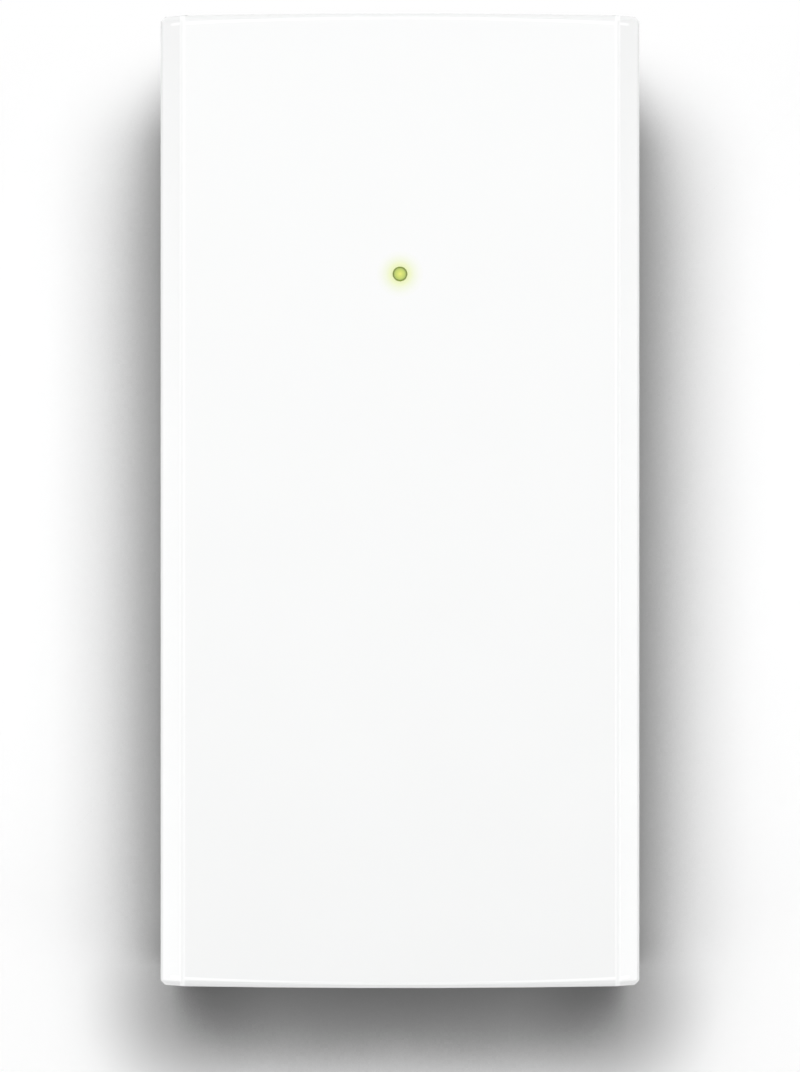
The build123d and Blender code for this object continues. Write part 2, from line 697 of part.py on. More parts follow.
with BuildPart() as status_led:
    with Locations((0, LIGHT_Y, BOARD_TOP)):
        Box(LED_LENGTH, LED_WIDTH, LED_BASE_HEIGHT, align=ON_TOP)
        Box(LED_LENS_LENGTH, LED_WIDTH, LED_HEIGHT, align=ON_TOP)
status_led.part.label = "status_led"
export_step(status_led.part, "parts/status_led.step")

# ----------------------------------------------------------------------- the board and its sheet

NOTCH_X = BOARD_HALF_WIDTH - POST_X + BOSS_SIZE / 2 + NOTCH_GAP
NOTCH_Y = BOARD_HALF_LENGTH - POST_Y + BOSS_SIZE / 2 + NOTCH_GAP
THIN_LEADS = (
    FUSE_LEADS
    + FILTER_LEADS
    + VARISTOR_LEADS
    + SAFETY_LEADS
    + CHOKE_LEADS
    + BULK_LEADS
    + TRANSFORMER_LEADS
    + DRUM_LEADS
    + OUTPUT_LEADS[0]
    + OUTPUT_LEADS[1]
)
FLAT_LEADS = BRIDGE_LEADS + SWITCH_LEADS + DIODE_LEADS + OPTO_LEADS
CONTACT_TAILS = [
    (x, JACK_FRONT - setback)
    for jack_x in JACKS.values()
    for x, setback in contact_tails(jack_x)
]
JACK_PEGS = [
    (jack_x + x, JACK_FRONT - JACK_PEG_SETBACK)
    for jack_x in JACKS.values()
    for x in spaced(2, JACK_PEG_PITCH)
]
SHIELD_LEGS = [
    (jack_x + side * (SHIELD_HALF_WIDTH - SHIELD_THICKNESS / 2), JACK_FRONT - LEG_SETBACK)
    for jack_x in JACKS.values()
    for side in (-1, 1)
]
INLET_PEGS = [(x, INLET_PEG_Y) for x in spaced(2, INLET_PEG_PITCH)]
TERMINALS = [(x, TERMINAL_Y) for x, rise, setback in BLADES.values()]
LEAD_HOLES = (
    (THIN_LEADS, LEAD_SIZE, LEAD_SIZE),
    (FLAT_LEADS, FLAT_LEAD_THICKNESS, FLAT_LEAD_WIDTH),
    (SINK_PINS, SINK_PIN_SIZE, SINK_PIN_SIZE),
    (CONTACT_TAILS, CONTACT_SIZE, CONTACT_SIZE),
    (SHIELD_LEGS, SHIELD_THICKNESS, LEG_WIDTH),
    (TERMINALS, TERMINAL_WIDTH, TERMINAL_THICKNESS),
)
PEG_HOLES = (
    (SUPPORT_PEGS, PEG_RADIUS),
    (JACK_PEGS, JACK_PEG_RADIUS),
    (INLET_PEGS, INLET_PEG_RADIUS),
)

# The board, with a hole for every lead, pin, peg and leg, and a slot between mains and output.
with BuildPart() as main_board:
    with BuildSketch(Plane.XY.offset(BOARD_BOTTOM)):
        Rectangle(2 * BOARD_HALF_WIDTH, 2 * BOARD_HALF_LENGTH)
        with Locations(*corners(BOARD_HALF_WIDTH, BOARD_HALF_LENGTH)):
            Rectangle(2 * NOTCH_X, 2 * NOTCH_Y, mode=Mode.SUBTRACT)
        for points, radius in PEG_HOLES:
            with Locations(*points):
                RegularPolygon(radius + HOLE_GAP, PEG_SIDES, mode=Mode.SUBTRACT)
        for points, width, depth in LEAD_HOLES:
            with Locations(*points):
                Rectangle(width + 2 * HOLE_GAP, depth + 2 * HOLE_GAP, mode=Mode.SUBTRACT)
        with Locations(OPTO):
            Rectangle(CREEPAGE_WIDTH, CREEPAGE_LENGTH, mode=Mode.SUBTRACT)
    extrude(amount=BOARD_THICKNESS)
main_board.part.label = "main_board"
export_step(main_board.part, "parts/main_board.step")

# Insulating sheet on the floor, cut out round bosses, supports and keyhole pockets.
with BuildPart() as insulation_sheet:
    sheet_notch = POST_INSET + BOSS_SIZE / 2 + SHEET_GAP
    with BuildSketch(Plane.XY.offset(FLOOR)):
        Rectangle(2 * (INNER_FLAT - SHEET_GAP), 2 * (INNER_HALF_LENGTH - SHEET_GAP))
        with Locations(*corners(INNER_HALF_WIDTH, INNER_HALF_LENGTH)):
            Rectangle(2 * sheet_notch, 2 * sheet_notch, mode=Mode.SUBTRACT)
        with Locations(*SUPPORTS):
            cut_out = SUPPORT_SIZE + 2 * SHEET_GAP
            Rectangle(cut_out, cut_out, mode=Mode.SUBTRACT)
        add(pocket_outline(POCKET_WALL + SHEET_GAP, 0), mode=Mode.SUBTRACT)
    extrude(amount=SHEET_THICKNESS)
insulation_sheet.part.label = "insulation_sheet"
export_step(insulation_sheet.part, "parts/insulation_sheet.step")

# ------------------------------------------------------------------------------ the mains inlet

# Moulded inlet: a sleeve with a flange behind the end wall, open to the front, on two board pegs.
with BuildPart() as inlet_housing:
    with BuildSketch(Plane.XZ.offset(-INLET_FACE)):
        with BuildLine():
            Polyline(*INLET_OUTLINE, close=True)
        make_face()
    extrude(amount=-INLET_DEPTH)
    with BuildSketch(Plane.XZ.offset(HALF_LENGTH - WALL - FLANGE_GAP)):
        with BuildLine():
            Polyline(*FLANGE_OUTLINE, close=True)
        make_face()
    extrude(amount=-FLANGE_THICKNESS)
    with BuildSketch(Plane.XY.offset(BOARD_TOP)):
        with Locations(*INLET_PEGS):
            RegularPolygon(INLET_PEG_RADIUS, PEG_SIDES)
    extrude(amount=-BOARD_THICKNESS - TAIL_LENGTH)
    with BuildSketch(Plane.XZ.offset(-INLET_FACE)):
        with BuildLine():
            Polyline(*MOUTH_OUTLINE, close=True)
        make_face()
    extrude(amount=-MOUTH_DEPTH, mode=Mode.SUBTRACT)
    front = inlet_housing.faces().sort_by(Axis.Y)[0]
    chamfer(front.inner_wires()[0].edges(), MOUTH_BEVEL)
    with BuildSketch(Plane.XZ.offset(-INLET_REAR)):
        with Locations(*[(x, INLET_MIDDLE + rise) for x, rise, setback in BLADES.values()]):
            Rectangle(BLADE_THICKNESS + 2 * BLADE_GAP, BLADE_HEIGHT + 2 * BLADE_GAP)
    extrude(amount=INLET_DEPTH - MOUTH_DEPTH, mode=Mode.SUBTRACT)
inlet_housing.part.label = "inlet_housing"
export_step(inlet_housing.part, "parts/inlet_housing.step")

# Three blades, each pressed through the sleeve's rear wall, with a strip down into the board.
for name, (x, rise, setback) in BLADES.items():
    with BuildPart() as pin:
        tip = INLET_FACE + setback
        rear = TERMINAL_Y + TERMINAL_THICKNESS / 2
        with BuildSketch(Plane.XZ.offset(-tip)):
            with Locations((x, INLET_MIDDLE + rise)):
                Rectangle(BLADE_THICKNESS, BLADE_HEIGHT)
        extrude(amount=tip - rear)
        chamfer(pin.faces().sort_by(Axis.Y)[0].edges(), BLADE_TIP_BEVEL)
        with Locations((x, TERMINAL_Y, INLET_MIDDLE + rise)):
            Box(TERMINAL_WIDTH, TERMINAL_THICKNESS, INLET_MIDDLE + rise - TAIL_END, align=BELOW)
    pin.part.label = f"{name}_pin"
    export_step(pin.part, f"parts/{name}_pin.step")

# ------------------------------------------------------------------------------ the modular jacks


def jack_front(jack_x, setback=0.0):
    """A plane across a jack: X across it, Y up from the board, its normal into the jack."""
    origin = (jack_x, JACK_FRONT - setback, BOARD_TOP)
    return Plane(origin=origin, x_dir=(1, 0, 0), z_dir=(0, -1, 0))


def contact_wires(jack_x):
    """Eight sprung wires: tail, run over the carrier, forward bend and free arm sloping back."""
    bend_level = SLOT_TOP - CONTACT_DROP
    wires = []
    for x, tail_setback in contact_tails(jack_x):
        side = Plane(origin=(x, JACK_FRONT, BOARD_TOP), x_dir=(0, -1, 0), z_dir=(-1, 0, 0))
        with BuildPart() as wire:
            with BuildSketch(side):
                with BuildLine():
                    arm_start = (CONTACT_NOSE + CONTACT_BEND, bend_level - 2 * CONTACT_BEND)
                    Polyline(
                        (tail_setback, -BOARD_THICKNESS - TAIL_LENGTH),
                        (tail_setback, bend_level - CONTACT_BEND),
                        (tail_setback - CONTACT_BEND, bend_level),
                        (CONTACT_NOSE + CONTACT_BEND, bend_level),
                        (CONTACT_NOSE, bend_level - CONTACT_BEND),
                        arm_start,
                    )
                    PolarLine(arm_start, CONTACT_ARM, -CONTACT_SLOPE)
                trace(line_width=CONTACT_SIZE)
            extrude(amount=CONTACT_SIZE / 2, both=True)
        wires.append(wire.part)
    return wires


for port, jack_x in JACKS.items():
    # Housing: a plug's space with its latch notch below, a slot for each contact under the roof,
    # the comb that the free arms run in, the carrier's pocket and two pegs for the board.
    with BuildPart() as jack_housing:
        with BuildSketch(jack_front(jack_x)):
            with Locations((0, JACK_HEIGHT / 2)):
                Rectangle(JACK_WIDTH, JACK_HEIGHT)
        extrude(amount=JACK_DEPTH)
        with BuildSketch(Plane.XY.offset(BOARD_TOP)):
            with Locations(*around((jack_x, JACK_FRONT - JACK_PEG_SETBACK), pair(JACK_PEG_PITCH))):
                RegularPolygon(JACK_PEG_RADIUS, PEG_SIDES)
        extrude(amount=-BOARD_THICKNESS - TAIL_LENGTH)
        with BuildSketch(jack_front(jack_x)) as plug_space:
            with Locations((0, PLUG_FLOOR + PLUG_HEIGHT / 2)):
                Rectangle(PLUG_WIDTH, PLUG_HEIGHT)
        extrude(amount=COMB_SETBACK, mode=Mode.SUBTRACT)
        with BuildSketch(jack_front(jack_x)) as below_comb:
            with Locations((0, PLUG_FLOOR)):
                Rectangle(
                    PLUG_WIDTH, PLUG_HEIGHT - COMB_HEIGHT, align=(Align.CENTER, Align.MIN)
                )
        extrude(amount=CARRIER_SETBACK, mode=Mode.SUBTRACT)
        with BuildSketch(jack_front(jack_x)) as latch_notch:
            with Locations((0, PLUG_FLOOR)):
                Rectangle(LATCH_WIDTH, LATCH_HEIGHT, align=(Align.CENTER, Align.MAX))
            with Locations((0, PLUG_FLOOR - LATCH_HEIGHT)):
                Rectangle(LATCH_SLOT_WIDTH, LATCH_SLOT_HEIGHT, align=(Align.CENTER, Align.MAX))
        extrude(amount=LATCH_DEPTH, mode=Mode.SUBTRACT)
        with BuildSketch(jack_front(jack_x, JACK_DEPTH)) as carrier_pocket:
            pocket_height = CARRIER_HEIGHT + CARRIER_GAP
            Rectangle(PLUG_WIDTH, pocket_height, align=(Align.CENTER, Align.MIN))
        extrude(amount=-(JACK_DEPTH - CARRIER_SETBACK), mode=Mode.SUBTRACT)
        with BuildSketch(jack_front(jack_x, CONTACT_SLOT_SETBACK)) as contact_slots:
            slot_foot = PLUG_TOP - COMB_HEIGHT
            with Locations(*[(x, slot_foot) for x in spaced(CONTACT_COUNT, CONTACT_PITCH)]):
                Rectangle(CONTACT_SLOT, SLOT_TOP - slot_foot, align=(Align.CENTER, Align.MIN))
        extrude(amount=JACK_DEPTH - CONTACT_SLOT_SETBACK, mode=Mode.SUBTRACT)
        with BuildSketch(jack_front(jack_x)) as spring_relief:
            relief_width = PLUG_WIDTH + 2 * (SPRING_INSET + SHIELD_THICKNESS + SPRING_GAP)
            with Locations((0, PLUG_FLOOR + PLUG_HEIGHT / 2)):
                Rectangle(relief_width, SPRING_HEIGHT + 2 * SPRING_GAP)
        extrude(amount=SPRING_DEPTH + SPRING_GAP, mode=Mode.SUBTRACT)
    jack_housing.part.label = f"{port}_jack_housing"
    export_step(jack_housing.part, f"parts/{port}_jack_housing.step")

    # Carrier: the block behind the plug's space that holds the tails in grooves of two depths.
    with BuildPart() as jack_carrier:
        with BuildSketch(jack_front(jack_x, CARRIER_SETBACK)):
            Rectangle(
                PLUG_WIDTH - 2 * CARRIER_GAP, CARRIER_HEIGHT, align=(Align.CENTER, Align.MIN)
            )
        extrude(amount=JACK_DEPTH - CARRIER_SETBACK)
        for x, tail_setback in contact_tails(jack_x):
            groove_start = tail_setback - CONTACT_SIZE / 2 - GROOVE_GAP
            with BuildSketch(jack_front(x, groove_start)):
                Rectangle(CONTACT_SLOT, CARRIER_HEIGHT, align=(Align.CENTER, Align.MIN))
            extrude(amount=JACK_DEPTH - groove_start, mode=Mode.SUBTRACT)
    jack_carrier.part.label = f"{port}_jack_carrier"
    export_step(jack_carrier.part, f"parts/{port}_jack_carrier.step")

    with BuildPart() as jack_contacts:
        add(contact_wires(jack_x))
    jack_contacts.part.label = f"{port}_jack_contacts"
    export_step(jack_contacts.part, f"parts/{port}_jack_contacts.step")

    # Shield: a folded sheet over front, top, sides and back, open below, with a window for the
    # plug, a spring at each side of it and two legs through the board.
    with BuildPart() as jack_shield:
        with BuildSketch(jack_front(jack_x, -SHIELD_GAP - SHIELD_THICKNESS)):
            with Locations((0, SHIELD_LIFT)):
                Rectangle(
                    2 * SHIELD_HALF_WIDTH,
                    SHIELD_HEIGHT - SHIELD_LIFT,
                    align=(Align.CENTER, Align.MIN),
                )
        extrude(amount=JACK_DEPTH + 2 * (SHIELD_GAP + SHIELD_THICKNESS))
        with BuildSketch(jack_front(jack_x, -SHIELD_GAP)):
            Rectangle(
                JACK_WIDTH + 2 * SHIELD_GAP,
                JACK_HEIGHT + SHIELD_GAP,
                align=(Align.CENTER, Align.MIN),
            )
        extrude(amount=JACK_DEPTH + 2 * SHIELD_GAP, mode=Mode.SUBTRACT)
        with BuildSketch(jack_front(jack_x, -SHIELD_GAP - SHIELD_THICKNESS)):
            window_foot = PLUG_FLOOR - LATCH_HEIGHT - LATCH_SLOT_HEIGHT - SHIELD_WINDOW_GAP
            with Locations((0, window_foot)):
                Rectangle(
                    PLUG_WIDTH + 2 * SHIELD_WINDOW_GAP,
                    PLUG_TOP + SHIELD_WINDOW_GAP - window_foot,
                    align=(Align.CENTER, Align.MIN),
                )
        extrude(amount=SHIELD_THICKNESS, mode=Mode.SUBTRACT)
        spring_level = BOARD_TOP + PLUG_FLOOR + PLUG_HEIGHT / 2
        for side in (-1, 1):
            with BuildSketch(Plane.XY.offset(spring_level)):
                with BuildLine():
                    root = side * (PLUG_WIDTH / 2 + SPRING_INSET)
                    start = JACK_FRONT + SHIELD_GAP + SHIELD_THICKNESS / 2
                    Polyline(
                        (jack_x + root, start),
                        (jack_x + root - side * SPRING_BULGE, start - SPRING_DEPTH / 2),
                        (jack_x + root, start - SPRING_DEPTH),
                    )
                trace(line_width=SHIELD_THICKNESS)
            extrude(amount=SPRING_HEIGHT / 2, both=True)
            leg_x = jack_x + side * (SHIELD_HALF_WIDTH - SHIELD_THICKNESS / 2)
            with Locations((leg_x, JACK_FRONT - LEG_SETBACK, BOARD_TOP + 2 * SHIELD_LIFT)):
                leg_height = 2 * SHIELD_LIFT + BOARD_THICKNESS + TAIL_LENGTH
                Box(SHIELD_THICKNESS, LEG_WIDTH, leg_height, align=BELOW)
    jack_shield.part.label = f"{port}_jack_shield"
    export_step(jack_shield.part, f"parts/{port}_jack_shield.step")

# --------------------------------------------------------------------- parts soldered to the board


def straight_leads(points, top, width=LEAD_SIZE, depth=LEAD_SIZE):
    """Straight leads of a rectangular section, from below the board up to a height."""
    with BuildPart() as leads:
        with Locations(*raised(points, TAIL_END)):
            Box(width, depth, top - TAIL_END, align=ON_TOP)
    return leads.part


def flat_leads(points, top):
    """Flat leads, broad along the board."""
    return straight_leads(points, top, FLAT_LEAD_THICKNESS, FLAT_LEAD_WIDTH)


def box_body(place, width, depth, height):
    """A moulded box on the board with bevelled upright corners and top edges."""
    with BuildPart() as body:
        with Locations((*place, BOARD_TOP)):
            Box(width, depth, height, align=ON_TOP)
        chamfer(body.edges().filter_by(Axis.Z), BODY_BEVEL)
        chamfer(body.faces().sort_by(Axis.Z)[-1].edges(), BODY_BEVEL / 2)
    return body.part


def disc_body(place, radius, thickness):
    """A dipped disc standing on edge above the board."""
    with BuildPart() as body:
        middle = (*place, BOARD_TOP + DISC_LIFT + radius)
        with Locations(Plane(origin=middle, z_dir=(0, 1, 0))):
            Cylinder(radius, thickness)
    return body.part


def can_body(place, radius, height):
    """An electrolytic capacitor's sleeved can."""
    with BuildPart() as body:
        with Locations((*place, BOARD_TOP)):
            Cylinder(radius, height, align=ON_TOP)
    return body.part


# Mains side: fuse, varistor, filter capacitor, choke, rectifier and reservoir capacitor.
with BuildPart() as fuse:
    add(box_body(FUSE, FUSE_LENGTH, FUSE_WIDTH, FUSE_HEIGHT))
    add(straight_leads(FUSE_LEADS, BOARD_TOP))
fuse.part.label = "fuse"
export_step(fuse.part, "parts/fuse.step")

with BuildPart() as varistor:
    add(disc_body(VARISTOR, VARISTOR_RADIUS, VARISTOR_THICKNESS))
    add(straight_leads(VARISTOR_LEADS, BOARD_TOP + DISC_LIFT + VARISTOR_RADIUS))
varistor.part.label = "varistor"
export_step(varistor.part, "parts/varistor.step")

with BuildPart() as filter_capacitor:
    add(box_body(FILTER, FILTER_WIDTH, FILTER_DEPTH, FILTER_HEIGHT))
    add(straight_leads(FILTER_LEADS, BOARD_TOP))
filter_capacitor.part.label = "filter_capacitor"
export_step(filter_capacitor.part, "parts/filter_capacitor.step")

CHOKE_FOOT = BOARD_TOP + CHOKE_BASE_THICKNESS + CHOKE_GAP

with BuildPart() as choke_base:
    with Locations((*CHOKE, BOARD_TOP)):
        Box(CHOKE_BASE_WIDTH, CHOKE_BASE_DEPTH, CHOKE_BASE_THICKNESS, align=ON_TOP)
    with Locations(*raised(CHOKE_LEADS, BOARD_TOP)):
        choke_lead_hole = LEAD_SIZE + 2 * HOLE_GAP
        Box(
            choke_lead_hole,
            choke_lead_hole,
            CHOKE_BASE_THICKNESS,
            align=ON_TOP,
            mode=Mode.SUBTRACT,
        )
choke_base.part.label = "choke_base"
export_step(choke_base.part, "parts/choke_base.step")

# Two U cores face to face, upright on the base.
with BuildPart() as choke_core:
    core_middle = (*CHOKE, CHOKE_FOOT + CHOKE_HEIGHT / 2)
    with BuildSketch(Plane(origin=core_middle, x_dir=(1, 0, 0), z_dir=(0, -1, 0))):
        Rectangle(CHOKE_WIDTH, CHOKE_HEIGHT)
        Rectangle(CHOKE_WIDTH - 2 * CHOKE_LEG, CHOKE_HEIGHT - 2 * CHOKE_LEG, mode=Mode.SUBTRACT)
    extrude(amount=CHOKE_DEPTH / 2, both=True)
choke_core.part.label = "choke_core"
export_step(choke_core.part, "parts/choke_core.step")

# One winding round each upright leg, with its two leads down through the base.
with BuildPart() as choke_windings:
    winding_foot = CHOKE_FOOT + CHOKE_LEG + CHOKE_GAP
    winding_height = CHOKE_HEIGHT - 2 * (CHOKE_LEG + CHOKE_GAP)
    legs = raised(around(CHOKE, pair(CHOKE_WIDTH - CHOKE_LEG)), winding_foot)
    bore_width = CHOKE_LEG + 2 * CHOKE_GAP
    bore_depth = CHOKE_DEPTH + 2 * CHOKE_GAP
    with Locations(*legs):
        Box(
            bore_width + 2 * CHOKE_WINDING,
            bore_depth + 2 * CHOKE_WINDING,
            winding_height,
            align=ON_TOP,
        )
    chamfer(choke_windings.edges().filter_by(Axis.Z), CHOKE_WINDING / 2)
    with Locations(*legs):
        Box(bore_width, bore_depth, winding_height, align=ON_TOP, mode=Mode.SUBTRACT)
    add(straight_leads(CHOKE_LEADS, winding_foot))
choke_windings.part.label = "choke_windings"
export_step(choke_windings.part, "parts/choke_windings.step")

with BuildPart() as bridge_rectifier:
    foot = (*BRIDGE, BOARD_TOP + BRIDGE_LIFT)
    with BuildSketch(Plane(origin=foot, x_dir=(0, 1, 0), z_dir=(1, 0, 0))):
        with BuildLine():
            half_bridge = BRIDGE_LENGTH / 2
            Polyline(
                (-half_bridge, 0),
                (half_bridge, 0),
                (half_bridge, BRIDGE_HEIGHT - BRIDGE_CLIP),
                (half_bridge - BRIDGE_CLIP, BRIDGE_HEIGHT),
                (-half_bridge, BRIDGE_HEIGHT),
                close=True,
            )
        make_face()
    extrude(amount=BRIDGE_THICKNESS / 2, both=True)
    add(flat_leads(BRIDGE_LEADS, BOARD_TOP + BRIDGE_LIFT))
bridge_rectifier.part.label = "bridge_rectifier"
export_step(bridge_rectifier.part, "parts/bridge_rectifier.step")

with BuildPart() as bulk_capacitor:
    add(can_body(BULK, BULK_RADIUS, TALLEST))
    add(straight_leads(BULK_LEADS, BOARD_TOP))
bulk_capacitor.part.label = "bulk_capacitor"
export_step(bulk_capacitor.part, "parts/bulk_capacitor.step")

# Heat sinks: upright extruded plates whose fins point at the side walls, each with two board pins,
# a power package on its inner face, an insulating pad between the two and a clip over both.
SINKS = {"primary": (PRIMARY_SINK, 1), "secondary": (SECONDARY_SINK, -1)}
PACKAGES = {"power_switch": (PRIMARY_SINK, 1), "output_diode": (SECONDARY_SINK, -1)}


def package_plane(sink, facing, standoff, level):
    """A plane parallel to a sink's inner face, its Y up and its normal away from the sink."""
    origin = (sink[0] + facing * (SINK_THICKNESS / 2 + standoff), sink[1], level)
    return Plane(origin=origin, x_dir=(0, facing, 0), z_dir=(facing, 0, 0))


for name, (sink, facing) in SINKS.items():
    with BuildPart() as heatsink:
        fin_x = sink[0] - facing * (SINK_THICKNESS + FIN_REACH) / 2
        fin_pitch = (SINK_LENGTH - FIN_THICKNESS) / (FIN_COUNT - 1)
        with BuildSketch(Plane.XY.offset(BOARD_TOP)):
            with Locations(sink):
                Rectangle(SINK_THICKNESS, SINK_LENGTH)
            with Locations(*[(fin_x, sink[1] + y) for y in spaced(FIN_COUNT, fin_pitch)]):
                Rectangle(FIN_REACH, FIN_THICKNESS)
        extrude(amount=SINK_HEIGHT)
        sink_pins = around(sink, [(0, y) for y in spaced(2, SINK_PIN_PITCH)])
        add(straight_leads(sink_pins, BOARD_TOP, SINK_PIN_SIZE, SINK_PIN_SIZE))
    heatsink.part.label = f"{name}_heatsink"
    export_step(heatsink.part, f"parts/{name}_heatsink.step")

for name, (sink, facing) in PACKAGES.items():
    with BuildPart() as package:
        package_face = package_plane(sink, facing, PAD_THICKNESS, BOARD_TOP + TAB_LIFT)
        with BuildSketch(package_face):
            Rectangle(TAB_WIDTH, TAB_HEIGHT, align=(Align.CENTER, Align.MIN))
        extrude(amount=TAB_THICKNESS)
        with BuildSketch(package_face):
            Rectangle(TAB_WIDTH, MOULD_HEIGHT, align=(Align.CENTER, Align.MIN))
        extrude(amount=MOULD_THICKNESS)
        add(flat_leads(tab_leads(sink, facing), BOARD_TOP + TAB_LIFT))
    package.part.label = name
    export_step(package.part, f"parts/{name}.step")

with BuildPart() as thermal_pads:
    for sink, facing in SINKS.values():
        with BuildSketch(package_plane(sink, facing, 0, BOARD_TOP + TAB_LIFT - PAD_MARGIN)):
            pad_height = TAB_HEIGHT + 2 * PAD_MARGIN
            Rectangle(TAB_WIDTH + 2 * PAD_MARGIN, pad_height, align=(Align.CENTER, Align.MIN))
        extrude(amount=PAD_THICKNESS)
thermal_pads.part.label = "thermal_pads"
export_step(thermal_pads.part, "parts/thermal_pads.step")

# Sprung strips: each hooks over its sink between two fins and presses on the package's face.
with BuildPart() as heatsink_clips:
    clip_offset = CLIP_GAP + CLIP_THICKNESS / 2
    rear = -SINK_THICKNESS / 2 - clip_offset
    front = SINK_THICKNESS / 2 + PAD_THICKNESS + MOULD_THICKNESS + clip_offset
    over = SINK_HEIGHT + clip_offset
    press = TAB_LIFT + MOULD_HEIGHT / 2
    for sink, facing in SINKS.values():
        across = Plane(origin=(*sink, BOARD_TOP), x_dir=(facing, 0, 0), z_dir=(0, -facing, 0))
        with BuildSketch(across):
            with BuildLine():
                Polyline(
                    (rear, SINK_HEIGHT - CLIP_HOOK),
                    (rear, over),
                    (front, over),
                    (front, press),
                    (front + CLIP_LIP, press - CLIP_LIP),
                )
            trace(line_width=CLIP_THICKNESS)
        extrude(amount=CLIP_WIDTH / 2, both=True)
heatsink_clips.part.label = "heatsink_clips"
export_step(heatsink_clips.part, "parts/heatsink_clips.step")

# Transformer: a ferrite core round a bobbin, whose base stands on the board with eight pins.
CORE_FOOT = BOARD_TOP + BOBBIN_BASE_HEIGHT
CORE_MIDDLE = CORE_FOOT + CORE_HEIGHT / 2
WINDOW_WIDTH = CORE_WIDTH - 2 * CORE_LEG
WINDOW_HEIGHT = CORE_HEIGHT - 2 * CORE_YOKE
BORE_WIDTH = CORE_POST + 2 * BOBBIN_GAP
BORE_DEPTH = CORE_DEPTH + 2 * BOBBIN_GAP
TUBE_WIDTH = BORE_WIDTH + 2 * BOBBIN_WALL
TUBE_DEPTH = BORE_DEPTH + 2 * BOBBIN_WALL

with BuildPart() as transformer_core:
    middle = (*TRANSFORMER, CORE_MIDDLE)
    with BuildSketch(Plane(origin=middle, x_dir=(1, 0, 0), z_dir=(0, -1, 0))):
        Rectangle(CORE_WIDTH, CORE_HEIGHT)
        Rectangle(WINDOW_WIDTH, WINDOW_HEIGHT, mode=Mode.SUBTRACT)
        Rectangle(CORE_POST, WINDOW_HEIGHT)
    extrude(amount=CORE_DEPTH / 2, both=True)
transformer_core.part.label = "transformer_core"
export_step(transformer_core.part, "parts/transformer_core.step")

with BuildPart() as transformer_bobbin:
    flange_width = WINDOW_WIDTH - 2 * BOBBIN_GAP
    flange_foot = CORE_FOOT + CORE_YOKE + BOBBIN_GAP
    spool_height = WINDOW_HEIGHT - 2 * BOBBIN_GAP
    cheek = BOBBIN_FLANGE_DEPTH / 2 - CORE_DEPTH / 2 - BOBBIN_GAP
    with Locations((*TRANSFORMER, BOARD_TOP)):
        Box(BOBBIN_BASE_WIDTH, BOBBIN_BASE_DEPTH, BOBBIN_BASE_HEIGHT, align=ON_TOP)
    with Locations((*TRANSFORMER, flange_foot)):
        Box(flange_width, BOBBIN_FLANGE_DEPTH, BOBBIN_FLANGE, align=ON_TOP)
        Box(TUBE_WIDTH, TUBE_DEPTH, spool_height, align=ON_TOP)
    with Locations((*TRANSFORMER, flange_foot + spool_height)):
        Box(flange_width, BOBBIN_FLANGE_DEPTH, BOBBIN_FLANGE, align=BELOW)
    cheeks = around(TRANSFORMER, [(0, y) for y in spaced(2, BOBBIN_FLANGE_DEPTH - cheek)])
    with Locations(*raised(cheeks, CORE_FOOT)):
        Box(flange_width, cheek, flange_foot - CORE_FOOT, align=ON_TOP)
    with Locations((*TRANSFORMER, flange_foot)):
        Box(BORE_WIDTH, BORE_DEPTH, spool_height, align=ON_TOP, mode=Mode.SUBTRACT)
    add(straight_leads(TRANSFORMER_LEADS, BOARD_TOP))
transformer_bobbin.part.label = "transformer_bobbin"
export_step(transformer_bobbin.part, "parts/transformer_bobbin.step")

with BuildPart() as transformer_coil:
    with Locations((*TRANSFORMER, CORE_MIDDLE)):
        coil_height = spool_height - 2 * BOBBIN_FLANGE - 2 * BOBBIN_GAP
        coil_bore_width = TUBE_WIDTH + 2 * BOBBIN_GAP
        coil_bore_depth = TUBE_DEPTH + 2 * BOBBIN_GAP
        Box(coil_bore_width + 2 * COIL_THICKNESS, coil_bore_depth + 2 * COIL_THICKNESS, coil_height)
        chamfer(transformer_coil.edges().filter_by(Axis.Z), COIL_BEVEL)
        Box(coil_bore_width, coil_bore_depth, coil_height, mode=Mode.SUBTRACT)
transformer_coil.part.label = "transformer_coil"
export_step(transformer_coil.part, "parts/transformer_coil.step")

# Optocoupler and safety capacitor bridge the gap between mains and output.
with BuildPart() as optocoupler:
    with Locations((*OPTO, BOARD_TOP + OPTO_LIFT)):
        Box(OPTO_WIDTH, OPTO_LENGTH, OPTO_HEIGHT, align=ON_TOP)
    chamfer(optocoupler.edges().filter_by(Axis.Y), BODY_BEVEL / 2)
    lead_level = BOARD_TOP + OPTO_LIFT + OPTO_HEIGHT / 2
    with Locations(*raised(around(OPTO, [(0, y) for y in spaced(2, OPTO_PITCH)]), lead_level)):
        Box(OPTO_ROW_PITCH, OPTO_LEAD_WIDTH, OPTO_LEAD_THICKNESS)
    with Locations(*raised(OPTO_LEADS, TAIL_END)):
        Box(
            OPTO_LEAD_THICKNESS,
            OPTO_LEAD_WIDTH,
            lead_level + OPTO_LEAD_THICKNESS / 2 - TAIL_END,
            align=ON_TOP,
        )
optocoupler.part.label = "optocoupler"
export_step(optocoupler.part, "parts/optocoupler.step")

with BuildPart() as safety_capacitor:
    add(disc_body(SAFETY, SAFETY_RADIUS, SAFETY_THICKNESS))
    add(straight_leads(SAFETY_LEADS, BOARD_TOP + DISC_LIFT + SAFETY_RADIUS))
safety_capacitor.part.label = "safety_capacitor"
export_step(safety_capacitor.part, "parts/safety_capacitor.step")

